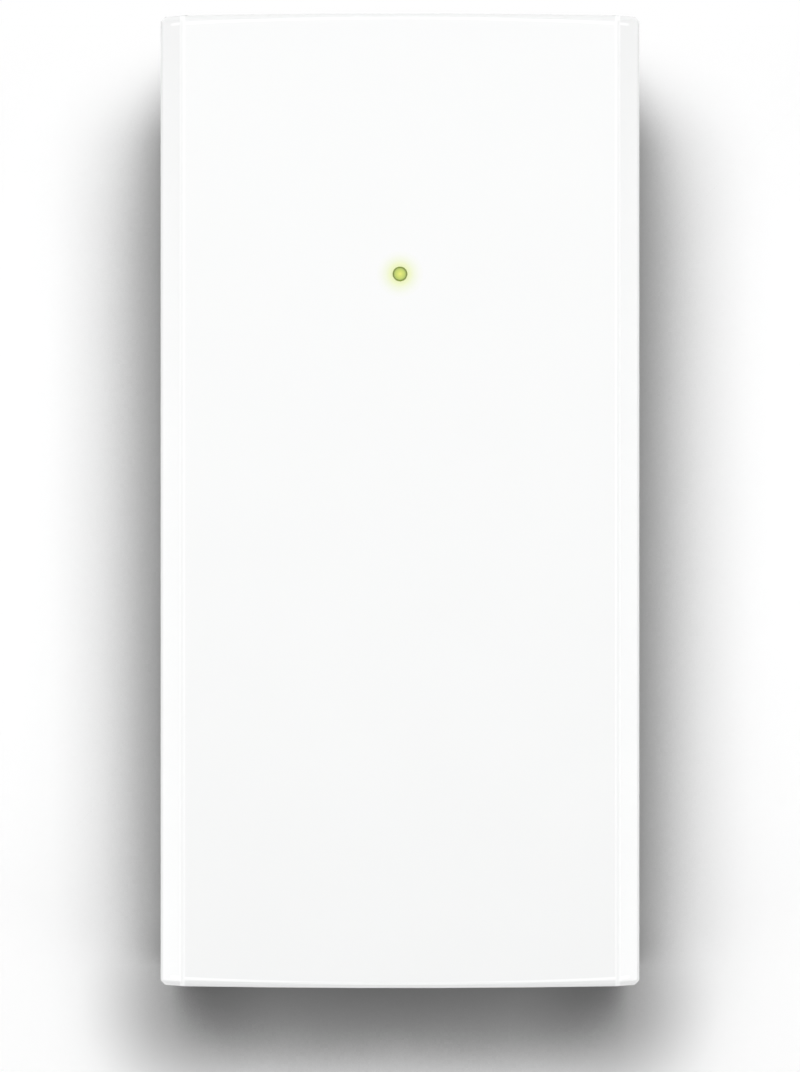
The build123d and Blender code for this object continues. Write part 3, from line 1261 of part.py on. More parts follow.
# Output side: two capacitors, a drum inductor and the control chips.
for index, (place, leads) in enumerate(zip(OUTPUTS, OUTPUT_LEADS), start=1):
    with BuildPart() as output_capacitor:
        add(can_body(place, OUTPUT_RADIUS, OUTPUT_HEIGHT))
        add(straight_leads(leads, BOARD_TOP))
    output_capacitor.part.label = f"output_capacitor_{index}"
    export_step(output_capacitor.part, f"parts/output_capacitor_{index}.step")

with BuildPart() as inductor_core:
    for radius, height, level in (
        (DRUM_RADIUS, DRUM_FLANGE, 0),
        (DRUM_POST_RADIUS, DRUM_HEIGHT, 0),
        (DRUM_RADIUS, DRUM_FLANGE, DRUM_HEIGHT - DRUM_FLANGE),
    ):
        with BuildSketch(Plane.XY.offset(BOARD_TOP + level)):
            with Locations(DRUM):
                RegularPolygon(radius, DRUM_SIDES)
        extrude(amount=height)
    add(straight_leads(DRUM_LEADS, BOARD_TOP))
inductor_core.part.label = "inductor_core"
export_step(inductor_core.part, "parts/inductor_core.step")

with BuildPart() as inductor_winding:
    with BuildSketch(Plane.XY.offset(BOARD_TOP + DRUM_FLANGE + DRUM_GAP)):
        with Locations(DRUM):
            RegularPolygon(DRUM_RADIUS - DRUM_WINDING_INSET, DRUM_SIDES)
            RegularPolygon(DRUM_POST_RADIUS + DRUM_GAP, DRUM_SIDES, mode=Mode.SUBTRACT)
    extrude(amount=DRUM_HEIGHT - 2 * (DRUM_FLANGE + DRUM_GAP))
inductor_winding.part.label = "inductor_winding"
export_step(inductor_winding.part, "parts/inductor_winding.step")


def chip(place, turn, count, width, height):
    """A surface-mounted chip with bent leads along both long sides, turned about its middle."""
    length = (count - 1) * CHIP_PITCH + 2 * CHIP_END
    side = width / 2
    knee = side + CHIP_LEAD_REACH - CHIP_FOOT
    sole = CHIP_LEAD_THICKNESS / 2
    with BuildPart() as lead:
        with BuildSketch(Plane.XZ):
            with BuildLine():
                Polyline(
                    (side - CHIP_LEAD_THICKNESS, height / 2),
                    (knee, height / 2),
                    (knee, sole),
                    (side + CHIP_LEAD_REACH, sole),
                )
            trace(line_width=CHIP_LEAD_THICKNESS)
        extrude(amount=CHIP_LEAD_WIDTH / 2, both=True)
        mirror(about=Plane.YZ)
    with BuildPart() as whole:
        with Locations((0, 0, CHIP_LIFT)):
            Box(width, length, height - CHIP_LIFT, align=ON_TOP)
        chamfer(whole.faces().sort_by(Axis.Z)[-1].edges(), CHIP_LIFT)
        with Locations(*[(0, y, 0) for y in spaced(count, CHIP_PITCH)]):
            add(lead.part)
    return Location((*place, BOARD_TOP), (0, 0, turn)) * whole.part


with BuildPart() as power_controller:
    add(chip(POWER_CHIP, 0, POWER_CHIP_LEAD_COUNT, CHIP_WIDTH, CHIP_HEIGHT))
power_controller.part.label = "power_controller"
export_step(power_controller.part, "parts/power_controller.step")

with BuildPart() as port_controller:
    add(chip(PORT_CHIP, 90, PORT_CHIP_LEAD_COUNT, CHIP_WIDTH, CHIP_HEIGHT))
port_controller.part.label = "port_controller"
export_step(port_controller.part, "parts/port_controller.step")

with BuildPart() as data_transformer:
    add(chip(MAGNETICS, 90, MAGNETICS_LEAD_COUNT, MAGNETICS_WIDTH, MAGNETICS_HEIGHT))
data_transformer.part.label = "data_transformer"
export_step(data_transformer.part, "parts/data_transformer.step")
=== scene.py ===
import bmesh
import bpy
import numpy as np
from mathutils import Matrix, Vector


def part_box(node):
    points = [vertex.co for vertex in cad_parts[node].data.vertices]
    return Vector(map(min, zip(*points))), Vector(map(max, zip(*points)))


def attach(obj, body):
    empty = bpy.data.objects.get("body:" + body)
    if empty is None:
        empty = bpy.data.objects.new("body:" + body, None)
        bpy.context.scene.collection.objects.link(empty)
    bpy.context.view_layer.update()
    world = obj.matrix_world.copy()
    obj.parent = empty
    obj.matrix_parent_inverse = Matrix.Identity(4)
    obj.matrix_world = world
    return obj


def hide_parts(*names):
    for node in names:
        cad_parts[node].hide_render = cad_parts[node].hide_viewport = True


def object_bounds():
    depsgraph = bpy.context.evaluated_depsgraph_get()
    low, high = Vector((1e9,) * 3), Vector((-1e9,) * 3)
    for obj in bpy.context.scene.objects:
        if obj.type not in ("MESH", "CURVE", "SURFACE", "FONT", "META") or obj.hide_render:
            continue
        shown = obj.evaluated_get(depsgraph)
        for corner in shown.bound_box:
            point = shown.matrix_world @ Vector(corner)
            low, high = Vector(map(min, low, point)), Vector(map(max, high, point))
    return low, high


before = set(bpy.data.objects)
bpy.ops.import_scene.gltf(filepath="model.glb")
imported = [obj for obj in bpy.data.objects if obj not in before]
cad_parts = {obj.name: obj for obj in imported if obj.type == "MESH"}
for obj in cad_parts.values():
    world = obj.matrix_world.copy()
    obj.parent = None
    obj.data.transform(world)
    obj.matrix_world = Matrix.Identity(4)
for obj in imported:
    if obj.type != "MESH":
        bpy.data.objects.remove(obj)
cad_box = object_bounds()


# The camera hangs straight over the case and looks down on it with a long lens, so that no side wall shows.
# Its picture is 141 mm tall at the height of the case's shoulders.
highest = cad_box[1]
picture_height = 0.141
shoulder_height = highest.z - 0.002
camera_distance = 0.8
camera_y = -0.00463
camera_data = bpy.data.cameras.new("camera")
camera_data.sensor_width = 36.0
camera_data.lens = camera_data.sensor_width * camera_distance / picture_height
camera = bpy.data.objects.new("camera", camera_data)
camera.location = (0.0, camera_y, shoulder_height + camera_distance)
bpy.context.scene.collection.objects.link(camera)
bpy.context.scene.camera = camera
bpy.context.scene.view_settings.view_transform = "Standard"


# Five soft lamps: a large round one high up on the jacks' side gives the soft shadow, and a low strip on each
# of the four sides lights the bevels and the upright walls.
def soft_lamp(name, place, size, watts):
    """An area lamp at `place` that faces the case. size is (across, along) in metres, and a single width
    makes it round."""
    data = bpy.data.lights.new(name, "AREA")
    data.shape = "RECTANGLE" if len(size) == 2 else "DISK"
    data.size = size[0]
    data.size_y = size[-1]
    data.energy = watts
    lamp = bpy.data.objects.new(name, data)
    lamp.location = place
    lamp.rotation_mode = "QUATERNION"
    facing = Vector((0.0, 0.0, shoulder_height)) - Vector(place)
    lamp.rotation_quaternion = facing.to_track_quat("-Z", "Y")
    lamp.visible_camera = False
    bpy.context.scene.collection.objects.link(lamp)


soft_lamp("overhead_lamp", (-0.03, 0.42, 1.56), (1.44,), 18.0)
soft_lamp("left_strip", (-0.90, -0.16, 0.26), (0.60, 0.16), 2.15)
soft_lamp("right_strip", (0.90, -0.16, 0.26), (0.60, 0.16), 2.15)
soft_lamp("near_strip", (0.0, -1.0, 0.22), (0.60, 0.16), 2.0)
soft_lamp("far_strip", (0.0, 1.0, 0.22), (0.60, 0.16), 2.0)


# The world is plain white wherever the camera, a mirror or clear plastic looks at it, and a weaker sky where
# it lights the case. All shader sums in this file are written on the class that comes first.
class Signal:
    """A node's output. A sum written on it adds Math nodes, and node() adds any other node to its tree."""

    def __init__(self, socket):
        self.socket = socket

    def node(self, kind, settings, values, out=0):
        """Adds one node: its settings first (a ramp's stops too), then the values or links of its inputs."""
        tree = self.socket.id_data
        made = tree.nodes.new(kind)
        for key, value in settings.items():
            if key == "stops":
                ramp = made.color_ramp.elements
                while len(ramp) < len(value):
                    ramp.new(1.0)
                for stop, (position, colour) in zip(ramp, value):
                    stop.position = position
                    stop.color = (*colour, 1.0)
            else:
                setattr(made, key, value)
        for key, value in values.items():
            if isinstance(value, Signal):
                tree.links.new(value.socket, made.inputs[key])
            else:
                made.inputs[key].default_value = value
        return Signal(made.outputs[out]) if made.outputs else None

    def also(self, out):
        """Another output of the same node."""
        return Signal(self.socket.node.outputs[out])

    def into(self, shader, key):
        """Links this to an input of a shader."""
        self.socket.id_data.links.new(self.socket, shader.inputs[key])

    def maths(self, operation, *others):
        return self.node("ShaderNodeMath", {"operation": operation}, dict(enumerate((self, *others))))

    def __add__(self, other):
        return self.maths("ADD", other)

    __radd__ = __add__

    def __mul__(self, other):
        return self.maths("MULTIPLY", other)

    __rmul__ = __mul__

    def __sub__(self, other):
        return self.maths("SUBTRACT", other)

    def __rsub__(self, other):
        return self * -1.0 + other

    def __pow__(self, other):
        return self.maths("POWER", other)

    def __abs__(self):
        return self.maths("ABSOLUTE")

    def at_least(self, other):
        return self.maths("MAXIMUM", other)

    def at_most(self, other):
        return self.maths("MINIMUM", other)

    def rise(self, start, end):
        """0 up to `start`, 1 from `end` on, and a smooth S between."""
        settings = {"interpolation_type": "SMOOTHSTEP"}
        return self.node("ShaderNodeMapRange", settings, {"Value": self, 1: start, 2: end})

    def axes(self):
        """The three coordinates of a place, each as a number."""
        x = self.node("ShaderNodeSeparateXYZ", {}, {0: self})
        return x, x.also("Y"), x.also("Z")

    def moved(self, **mapping):
        """The place after a Mapping node, with its Location, Rotation or Scale."""
        return self.node("ShaderNodeMapping", {}, {"Vector": self, **mapping})

    def length(self):
        return self.node("ShaderNodeVectorMath", {"operation": "LENGTH"}, {0: self}, out="Value")

    def noise(self, size, detail=2.0):
        """Noise from 0 to 1 whose lumps are about `size` metres across."""
        return self.node("ShaderNodeTexNoise", {}, {"Vector": self, "Scale": 1.0 / size, "Detail": detail})

    def mix(self, first, second):
        """The colour `first` where this is 0, and `second` where it is 1."""
        first = first if isinstance(first, Signal) else (*first, 1.0)
        second = second if isinstance(second, Signal) else (*second, 1.0)
        return self.node("ShaderNodeMix", {"data_type": "RGBA"}, {0: self, 6: first, 7: second}, out=2)

    def ramp(self, *stops):
        """A colour for each value from 0 to 1, by stops of (position, colour)."""
        return self.node("ShaderNodeValToRGB", {"stops": stops}, {"Fac": self})

    def bump(self, relief):
        """The surface normal for this height, whose full range is `relief` metres."""
        return self.node("ShaderNodeBump", {}, {"Height": self, "Distance": relief, "Strength": 1.0})


def seen_directly(tree):
    """1 for the rays of the camera and those of mirrors and clear plastic, and 0 for the light on the case."""
    ray = Signal(tree.nodes.new("ShaderNodeLightPath").outputs["Is Camera Ray"])
    return (ray + ray.also("Is Glossy Ray") + ray.also("Is Transmission Ray")).at_most(1.0)


world = bpy.data.worlds.new("studio")
bpy.context.scene.world = world
world.use_nodes = True
world.node_tree.nodes.clear()
sky_strength = seen_directly(world.node_tree) * 0.80 + 0.20
sky = sky_strength.node("ShaderNodeBackground", {}, {"Color": (1.0, 1.0, 1.0, 1.0), "Strength": sky_strength})
sky.node("ShaderNodeOutputWorld", {}, {"Surface": sky})


# The floor is a white sheet under the case. It keeps the lamps' shadow, and it is painted darker where the case
# hides the sky from it, in listed greys, with a dark patch beside each of the two corners at the inlet. It turns
# to plain white a few centimetres away and past the jacks' end.
floor_mesh = bpy.data.meshes.new("floor")
floor_mesh.from_pydata([(-4, -4, 0), (4, -4, 0), (4, 4, 0), (-4, 4, 0)], [], [(0, 1, 2, 3)])
floor = bpy.data.objects.new("floor", floor_mesh)
bpy.context.scene.collection.objects.link(floor)
floor_white = bpy.data.materials.new("floor_white")
floor_white.use_nodes = True
floor_mesh.materials.append(floor_white)
floor_tree = floor_white.node_tree
floor_tree.nodes.clear()
on_floor = Signal(floor_tree.nodes.new("ShaderNodeTexCoord").outputs["Object"])
floor_x, floor_y = on_floor.axes()[:2]
beside = (abs(floor_x) - highest.x).at_least(0.0)
beyond = (abs(floor_y) - highest.y).at_least(0.0)
away = on_floor.node("ShaderNodeCombineXYZ", {}, {"X": beside, "Y": beyond}).length()
leaning_up = on_floor.node("ShaderNodeCombineXYZ", {}, {"Y": 0.6, "Z": 0.8})
reach_of_sky = {"Distance": 0.030, "Normal": leaning_up}
open_sky = on_floor.node("ShaderNodeAmbientOcclusion", {"samples": 32}, reach_of_sky, out="AO")
# Painted shade: the floor is made darker where the case hides the sky from it.
grey_for_sky = (
    (0.37, 0.25), (0.48, 0.30), (0.54, 0.345), (0.60, 0.42), (0.64, 0.545),
    (0.69, 0.69), (0.73, 0.805), (0.83, 0.93), (0.92, 0.985), (1.0, 1.0),
)
painted_floor_shade = open_sky.ramp(*[(seen, (grey, grey, grey)) for seen, grey in grey_for_sky])
# A painted shadow patch on the floor beside each corner at the inlet end.
dark_x, dark_y, dark_width, dark_depth, darkness = 0.0303, -0.0709, 0.0061, 0.0064, 0.43
patch_x, patch_y = (abs(floor_x) - dark_x) * (1.0 / dark_width), (floor_y - dark_y) * (1.0 / dark_depth)
from_patch = on_floor.node("ShaderNodeCombineXYZ", {}, {"X": patch_x, "Y": patch_y}).length()
painted_floor_shade = (darkness - from_patch.rise(0.0, 2.5) * darkness).mix(painted_floor_shade, (0.0, 0.0, 0.0))
paper = on_floor.node("ShaderNodeBsdfDiffuse", {}, {"Color": painted_floor_shade})
plain = on_floor.node("ShaderNodeEmission", {}, {"Strength": 1.0})
past_jacks = floor_y.rise(0.048, 0.066) * away.rise(0.0, 0.0005)
whitened = away.rise(0.018, 0.045).at_least(past_jacks) * seen_directly(floor_tree)
floor_finish = on_floor.node("ShaderNodeMixShader", {}, {0: whitened, 1: paper, 2: plain})
floor_finish.node("ShaderNodeOutputMaterial", {}, {"Surface": floor_finish})


# Bottom shell: white ABS, moulded with a lap for the top shell, posts, supports, ribs and two keyholes.
# Its outside has the fine even grain of a spark-eroded tool, and every edge of the moulding is slightly broken.
def new_finish(name, **constants):
    """A material with a Principled shader. Gives the material, its shader and the object's coordinates."""
    material = bpy.data.materials.new(name)
    material.use_nodes = True
    shader = material.node_tree.nodes["Principled BSDF"]
    for key, value in constants.items():
        shader.inputs[key.replace("_", " ")].default_value = value
    return material, shader, Signal(material.node_tree.nodes.new("ShaderNodeTexCoord").outputs["Object"])


def shade(colour, amount):
    return tuple(np.clip(np.array(colour) * amount, 0.0, 1.0))


def moulded(name, colour, roughness, grain, relief, mottle=0.02):
    """Moulded plastic: a colour with a faint mottle, and an eroded grain. grain is the size of its pits and
    relief their depth, in metres."""
    material, shader, place = new_finish(name, IOR=1.50)
    flow = place.noise(0.012, 3.0)
    flow.mix(shade(colour, 1.0 - mottle), shade(colour, 1.0 + mottle)).into(shader, "Base Color")
    pits = place.noise(grain, 1.0)
    (flow * 0.06 + (roughness - 0.03)).into(shader, "Roughness")
    pits.bump(relief).into(shader, "Normal")
    return material


def dress(material, *nodes):
    """Gives CAD pieces a finish."""
    for node in nodes:
        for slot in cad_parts[node].material_slots:
            slot.material = material


def broken_edges(node, material, width, segments=2, outer=None):
    """A copy of a CAD piece with whole faces and a small round of `width` metres on each sharp edge, which stands
    for the CAD piece. Sharp edges where outer(x, y, z) holds get a larger round first."""
    sharp, outer_width = np.radians(35.0), 0.0002
    mesh = bpy.data.meshes.new(node + "_moulding")
    work = bmesh.new()
    work.from_mesh(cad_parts[node].data)
    bmesh.ops.remove_doubles(work, verts=work.verts, dist=1e-6)
    bmesh.ops.dissolve_limit(work, angle_limit=0.002, verts=work.verts, edges=work.edges)
    if outer:
        marks = work.edges.layers.float.new("bevel_weight_edge")
        for edge in work.edges:
            ends = [outer(*vertex.co) for vertex in edge.verts]
            edge[marks] = float(all(ends) and edge.calc_face_angle(0.0) > sharp)
    work.to_mesh(mesh)
    work.free()
    mesh.materials.clear()
    mesh.materials.append(material)
    mesh.polygons.foreach_set("use_smooth", np.ones(len(mesh.polygons), bool))
    piece = bpy.data.objects.new(node + "_moulding", mesh)
    bpy.context.scene.collection.objects.link(piece)
    if outer:
        rounds = piece.modifiers.new("outer_edges", "BEVEL")
        rounds.width = outer_width
        rounds.segments = 3
        rounds.limit_method = "WEIGHT"
        rounds.use_clamp_overlap = False
    edges = piece.modifiers.new("broken_edges", "BEVEL")
    edges.width = width
    edges.segments = segments
    edges.limit_method = "ANGLE"
    edges.angle_limit = sharp
    flat = piece.modifiers.new("flat_faces", "WEIGHTED_NORMAL")
    flat.weight = 100
    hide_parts(node)
    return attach(piece, "root")


def at_case_end(x, y, z):
    """Whether a point is on the outer rim of one of the case's two ends, away from the windows and the joint."""
    rim = abs(x) > highest.x - 0.0035 or z > highest.z - 0.0015 or z < 0.0025
    return abs(y) > highest.y - 0.0014 and rim and abs(z - 0.0195) > 0.001


case_colour = (0.865, 0.870, 0.868)
case_grained = moulded("case_white_grained", case_colour, 0.42, 0.00035, 0.000006, 0.006)
broken_edges("bottom_shell", case_grained, 0.00015, outer=at_case_end)


# Insulating sheet: a die-cut polyester film on the floor of the bottom shell, under the solder joints.
# It is thin, slightly milky and shiny.
film, film_shader, film_place = new_finish("insulating_film", Roughness=0.22, IOR=1.57)
film_place.noise(0.02).mix((0.55, 0.56, 0.53), (0.66, 0.67, 0.64)).into(film_shader, "Base Color")
film_place.noise(0.006).bump(0.00004).into(film_shader, "Normal")
dress(film, "insulation_sheet")


# Main board: glass-fibre laminate with copper under a green solder mask. The mask is darker over bare laminate
# than over the copper pours, and a faint weave shows through it.
mask, mask_shader, mask_place = new_finish("board_green", IOR=1.53, Coat_Weight=0.35, Coat_Roughness=0.12)
pour = mask_place.node("ShaderNodeTexVoronoi", {"distance": "CHEBYCHEV"}, {"Vector": mask_place, "Scale": 160.0})
copper = pour.rise(0.30, 0.34)
weave = mask_place.noise(0.0008, 1.0)
(copper * 0.7 + weave * 0.3).mix((0.006, 0.055, 0.018), (0.014, 0.110, 0.034)).into(mask_shader, "Base Color")
(copper * -0.12 + 0.45).into(mask_shader, "Roughness")
(copper + weave * 0.2).bump(0.00003).into(mask_shader, "Normal")
dress(mask, "main_board")


# Mains inlet: one black glass-filled moulding, pushed into its window from inside, with three blades of
# nickel-plated brass pressed through its back wall.
black_grained = moulded("inlet_black", (0.018, 0.018, 0.019), 0.46, 0.0004, 0.000012, 0.12)
broken_edges("inlet_housing", black_grained, 0.00018)


def drawn_metal(name, colour, roughness, along, streak=0.25, relief=0.000001, metallic=1.0):
    """Rolled or drawn metal: fine streaks that run along one axis (0, 1 or 2), in shade and in height."""
    material, shader, place = new_finish(name, Metallic=metallic)
    stretch = [1.0, 1.0, 1.0]
    stretch[along] = 0.03
    streaks = place.moved(Scale=stretch).noise(0.00018, 3.0)
    cloud = place.noise(0.004, 2.0)
    (streaks * 0.6 + cloud * 0.4).mix(shade(colour, 0.90), shade(colour, 1.07)).into(shader, "Base Color")
    ((streaks - 0.5) * streak * roughness + roughness).into(shader, "Roughness")
    streaks.bump(relief).into(shader, "Normal")
    return material


nickel = drawn_metal("nickel_brass", (0.76, 0.73, 0.66), 0.30, 1, metallic=0.7)
for blade in ("line_pin", "neutral_pin", "earth_pin"):
    broken_edges(blade, nickel, 0.00015)


# Fuse, film capacitor, rectifier and the transformer's bobbin, with tinned leads through the board, and the
# choke's base and both ferrite cores, which have none. Each has the broken edges of its kind.
board_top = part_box("main_board")[1].z
under_board_top = board_top - 0.0001
tin = drawn_metal("tinned_leads", (0.72, 0.72, 0.70), 0.30, 2)


def middle_of(low, high):
    """The middle of a box, seen from above."""
    return (low.x + high.x) / 2.0, (low.y + high.y) / 2.0


def component(node, material, width, body=(1.0, 1.0), top=1.0):
    """A part with leads. Its metal is what goes down into the board, what stands out of its body's half width
    and half depth, and what rises over its top."""
    middle_x, middle_y = middle_of(*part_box(node))
    piece = broken_edges(node, material, width)
    piece.data.materials.append(tin)
    for face in piece.data.polygons:
        x, y, z = face.center
        bare = abs(x - middle_x) > body[0] or abs(y - middle_y) > body[1] or z > top
        lowest_point = min(piece.data.vertices[corner].co.z for corner in face.vertices)
        face.material_index = int(bare or lowest_point < under_board_top)


fuse_shell = moulded("fuse_shell", (0.030, 0.022, 0.018), 0.36, 0.0005, 0.00001, 0.2)
component("fuse", fuse_shell, 0.0003)
box_yellow = moulded("capacitor_box", (0.62, 0.42, 0.05), 0.34, 0.0004, 0.000008, 0.05)
component("filter_capacitor", box_yellow, 0.0004)
resin_black = moulded("black_moulding", (0.022, 0.022, 0.024), 0.50, 0.0003, 0.00001, 0.15)
component("bridge_rectifier", resin_black, 0.0002)
component("transformer_bobbin", resin_black, 0.00015)
broken_edges("choke_base", resin_black, 0.0002)
ferrite = moulded("ferrite", (0.060, 0.057, 0.056), 0.55, 0.00025, 0.00002, 0.25)
for core in ("choke_core", "transformer_core"):
    broken_edges(core, ferrite, 0.00035, segments=3)


# Discs: the surge absorber and the safety capacitor, dipped in epoxy that draws a round rim. Their leads, like
# those of every part made of new surfaces, are the ones that the board is drilled for.
def surfaces(node, slot, materials, *patches):
    """A piece that stands for a CAD part and keeps its leads, if it has any, in the last material. A patch is a
    grid of points with the number of its material, or one number a column. Its columns close into a ring. Its
    rows do too where the last is the first again, and otherwise each end is drawn together in a flat disc."""
    points, quads, finishes, count = [], [], [], 0
    for grid, finish in patches:
        if not np.allclose(grid[0], grid[-1]):
            ends = [np.broadcast_to(row.mean(axis=0), row.shape)[None] for row in (grid[0], grid[-1])]
            grid = np.concatenate([ends[0], grid, ends[1]])
        index = count + np.arange(grid.shape[0] * grid.shape[1]).reshape(grid.shape[:2])
        beside = np.roll(index, -1, axis=1)
        quads.append(np.stack([index[:-1], beside[:-1], beside[1:], index[1:]], axis=-1).reshape(-1, 4))
        finishes.append(np.broadcast_to(finish, index[:-1].shape).ravel())
        points.append(grid.reshape(-1, 3))
        count += index.size
    mesh = bpy.data.meshes.new(node + "_surfaces")
    mesh.from_pydata(np.concatenate(points).tolist(), [], np.concatenate(quads).tolist())
    mesh.polygons.foreach_set("material_index", np.concatenate(finishes).astype(np.int32))
    work = bmesh.new()
    work.from_mesh(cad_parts[node].data)
    bmesh.ops.remove_doubles(work, verts=work.verts, dist=1e-6)
    kept_under = under_board_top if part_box(node)[1].z > board_top else -1.0
    body = [face for face in work.faces if min(vertex.co.z for vertex in face.verts) > kept_under]
    bmesh.ops.delete(work, geom=body, context="FACES")
    bmesh.ops.holes_fill(work, edges=work.edges)
    for face in work.faces:
        face.material_index = len(materials) - 1
    work.from_mesh(mesh)
    bmesh.ops.remove_doubles(work, verts=work.verts, dist=1e-7)
    bmesh.ops.recalc_face_normals(work, faces=work.faces)
    work.to_mesh(mesh)
    work.free()
    for material in materials:
        mesh.materials.append(material)
    mesh.polygons.foreach_set("use_smooth", np.ones(len(mesh.polygons), bool))
    mesh.set_sharp_from_angle(angle=np.radians(42.0))
    piece = bpy.data.objects.new(node + "_surfaces", mesh)
    bpy.context.scene.collection.objects.link(piece)
    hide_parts(node)
    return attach(piece, "root")


def squared_circle(angle, half_width, half_depth, squareness):
    """How far a superellipse is from its middle at each angle: the sum of the two shares of its half sizes, each
    to the power of squareness, is one. 2 is an ellipse, and a larger number is squarer."""
    across = np.abs(np.cos(angle) / half_width) ** squareness
    along = np.abs(np.sin(angle) / half_depth) ** squareness
    return (across + along) ** (-1.0 / squareness)


def ring_angles(count):
    return np.linspace(0.0, 2.0 * np.pi, count, endpoint=False)


def turned(middle, radius, height, columns=48):
    """A surface of revolution: each radius at its height, carried round the upright line through `middle`."""
    angle = ring_angles(columns)
    round_axis = np.stack([np.cos(angle), np.sin(angle), np.zeros(columns)], axis=-1)
    up = np.array([0.0, 0.0, 1.0])
    return np.array([*middle, 0.0]) + radius[:, None, None] * round_axis + height[:, None, None] * up


def dipped(name, colour):
    """Epoxy dip: a glossy coat with slow waves, thicker in places."""
    material, shader, place = new_finish(name, IOR=1.56, Roughness=0.25, Coat_Weight=0.4, Coat_Roughness=0.08)
    waves = place.noise(0.0025, 2.0)
    waves.mix(shade(colour, 0.82), shade(colour, 1.15)).into(shader, "Base Color")
    waves.bump(0.0001).into(shader, "Normal")
    return material


for disc, slot, colour in (
    ("varistor", "varistor_blue", (0.02, 0.07, 0.26)),
    ("safety_capacitor", "safety_blue", (0.03, 0.16, 0.34)),
):
    low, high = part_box(disc)
    disc_radius, disc_half = (high.x - low.x) / 2.0, (high.y - low.y) / 2.0
    tilt = np.linspace(-0.497, 0.497, 25) * np.pi
    reach = squared_circle(tilt, disc_radius, disc_half, 3.2)
    lying = turned((0.0, 0.0), reach * np.cos(tilt), reach * np.sin(tilt))
    standing = lying[:, :, [0, 2, 1]] + np.array([*middle_of(low, high), high.z - disc_radius])
    surfaces(disc, slot, [dipped(slot, colour), tin], (standing, 0))


# Windings: enamelled copper wire in two layers, turn beside turn, round both legs of the choke and round the
# drum of the output inductor, whose ferrite is pressed in one piece.
def wound(middle, half_width, half_depth, squareness, low, turns, diameter):
    """A wire that climbs its own diameter in each turn. Its path is a superellipse round `middle`, and at each
    point of it stands a circle spanned by the path's outward normal and the line across both."""
    angle = np.linspace(0.0, 2.0 * np.pi * turns, 36 * turns + 1)
    reach = squared_circle(angle, half_width, half_depth, squareness)
    x, y = reach * np.cos(angle), reach * np.sin(angle)
    climb = low + diameter * (0.5 + angle / (2.0 * np.pi))
    path = np.stack([middle[0] + x, middle[1] + y, climb], axis=-1)
    outward = np.stack([
        np.sign(x) * np.abs(x / half_width) ** (squareness - 1.0) / half_width,
        np.sign(y) * np.abs(y / half_depth) ** (squareness - 1.0) / half_depth,
        np.zeros(len(x)),
    ], axis=-1)
    outward /= np.linalg.norm(outward, axis=1, keepdims=True)
    course = np.gradient(path, axis=0)
    course /= np.linalg.norm(course, axis=1, keepdims=True)
    sideways = np.cross(course, outward)
    around = ring_angles(8)[:, None]
    circle = np.cos(around) * outward[:, None] + np.sin(around) * sideways[:, None]
    return path[:, None] + diameter / 2.0 * circle


enamel, enamel_shader, enamel_place = new_finish(
    "enamelled_copper", Metallic=0.85, Coat_Weight=0.6, Coat_Roughness=0.1
)
lacquer = enamel_place.noise(0.0015, 2.0)
lacquer.mix((0.36, 0.11, 0.04), (0.62, 0.24, 0.10)).into(enamel_shader, "Base Color")
(lacquer * 0.1 + 0.28).into(enamel_shader, "Roughness")
lacquer.bump(0.00002).into(enamel_shader, "Normal")
choke_wire, choke_turns, leg_pitch, winding_foot = 0.00085, 9, 0.0118, 0.0150
leg_half_width, leg_half_depth = 0.00165, 0.00225
choke_x, choke_y = middle_of(*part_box("choke_windings"))
layers = []
for side in (-0.5, 0.5):
    leg = (choke_x + side * leg_pitch, choke_y)
    for layer in (0.5, 1.5):
        half_width, half_depth = leg_half_width + layer * choke_wire, leg_half_depth + layer * choke_wire
        layers.append((wound(leg, half_width, half_depth, 6.0, winding_foot, choke_turns, choke_wire), 0))
surfaces("choke_windings", "enamelled_copper", [enamel, tin], *layers)
low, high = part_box("inductor_winding")
drum = middle_of(low, high)
drum_wire, drum_turns, between_layers = 0.0007, 10, 0.00001
outer_layer = (high.x - low.x) / 2.0 - drum_wire / 2.0
layers = []
for reach in (outer_layer, outer_layer - (drum_wire + between_layers)):
    layers.append((wound(drum, reach, reach, 2.0, low.z, drum_turns, drum_wire), 0))
surfaces("inductor_winding", "enamelled_copper", [enamel, tin], *layers)
low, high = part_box("inductor_core")
drum_radius, post_radius, flange, broken = (high.x - low.x) / 2.0, 0.0026, 0.0015, 0.0002
radius = [drum_radius - broken, drum_radius, drum_radius, drum_radius - broken, post_radius]
level = [0.0, broken, flange - broken, flange, flange]
drum_height = high.z - board_top
radius, level = np.array(radius + radius[::-1]), np.array(level + [drum_height - rise for rise in level[::-1]])
surfaces("inductor_core", "ferrite", [ferrite, tin], (turned(drum, radius, board_top + level), 0))


# Electrolytic cans: aluminium in a shrunk plastic sleeve with a pale stripe on the negative side, grooved near
# the foot, where the rubber is held, and scored with a cross on the bare lid.
def sleeved(name, colour):
    """Shrunk sleeve: thin glossy plastic with slow waves."""
    material, shader, place = new_finish(name, Roughness=0.3, IOR=1.53)
    waves = place.noise(0.003)
    waves.mix(shade(colour, 0.85), shade(colour, 1.15)).into(shader, "Base Color")
    waves.bump(0.00003).into(shader, "Normal")
    return material


def arc(middle_radius, middle_height, size, start, end, steps=6):
    """Radii and heights of an arc of a circle, from one angle to another in degrees."""
    angle = np.radians(np.linspace(start, end, steps))
    return np.stack([middle_radius + size * np.cos(angle), middle_height + size * np.sin(angle)])


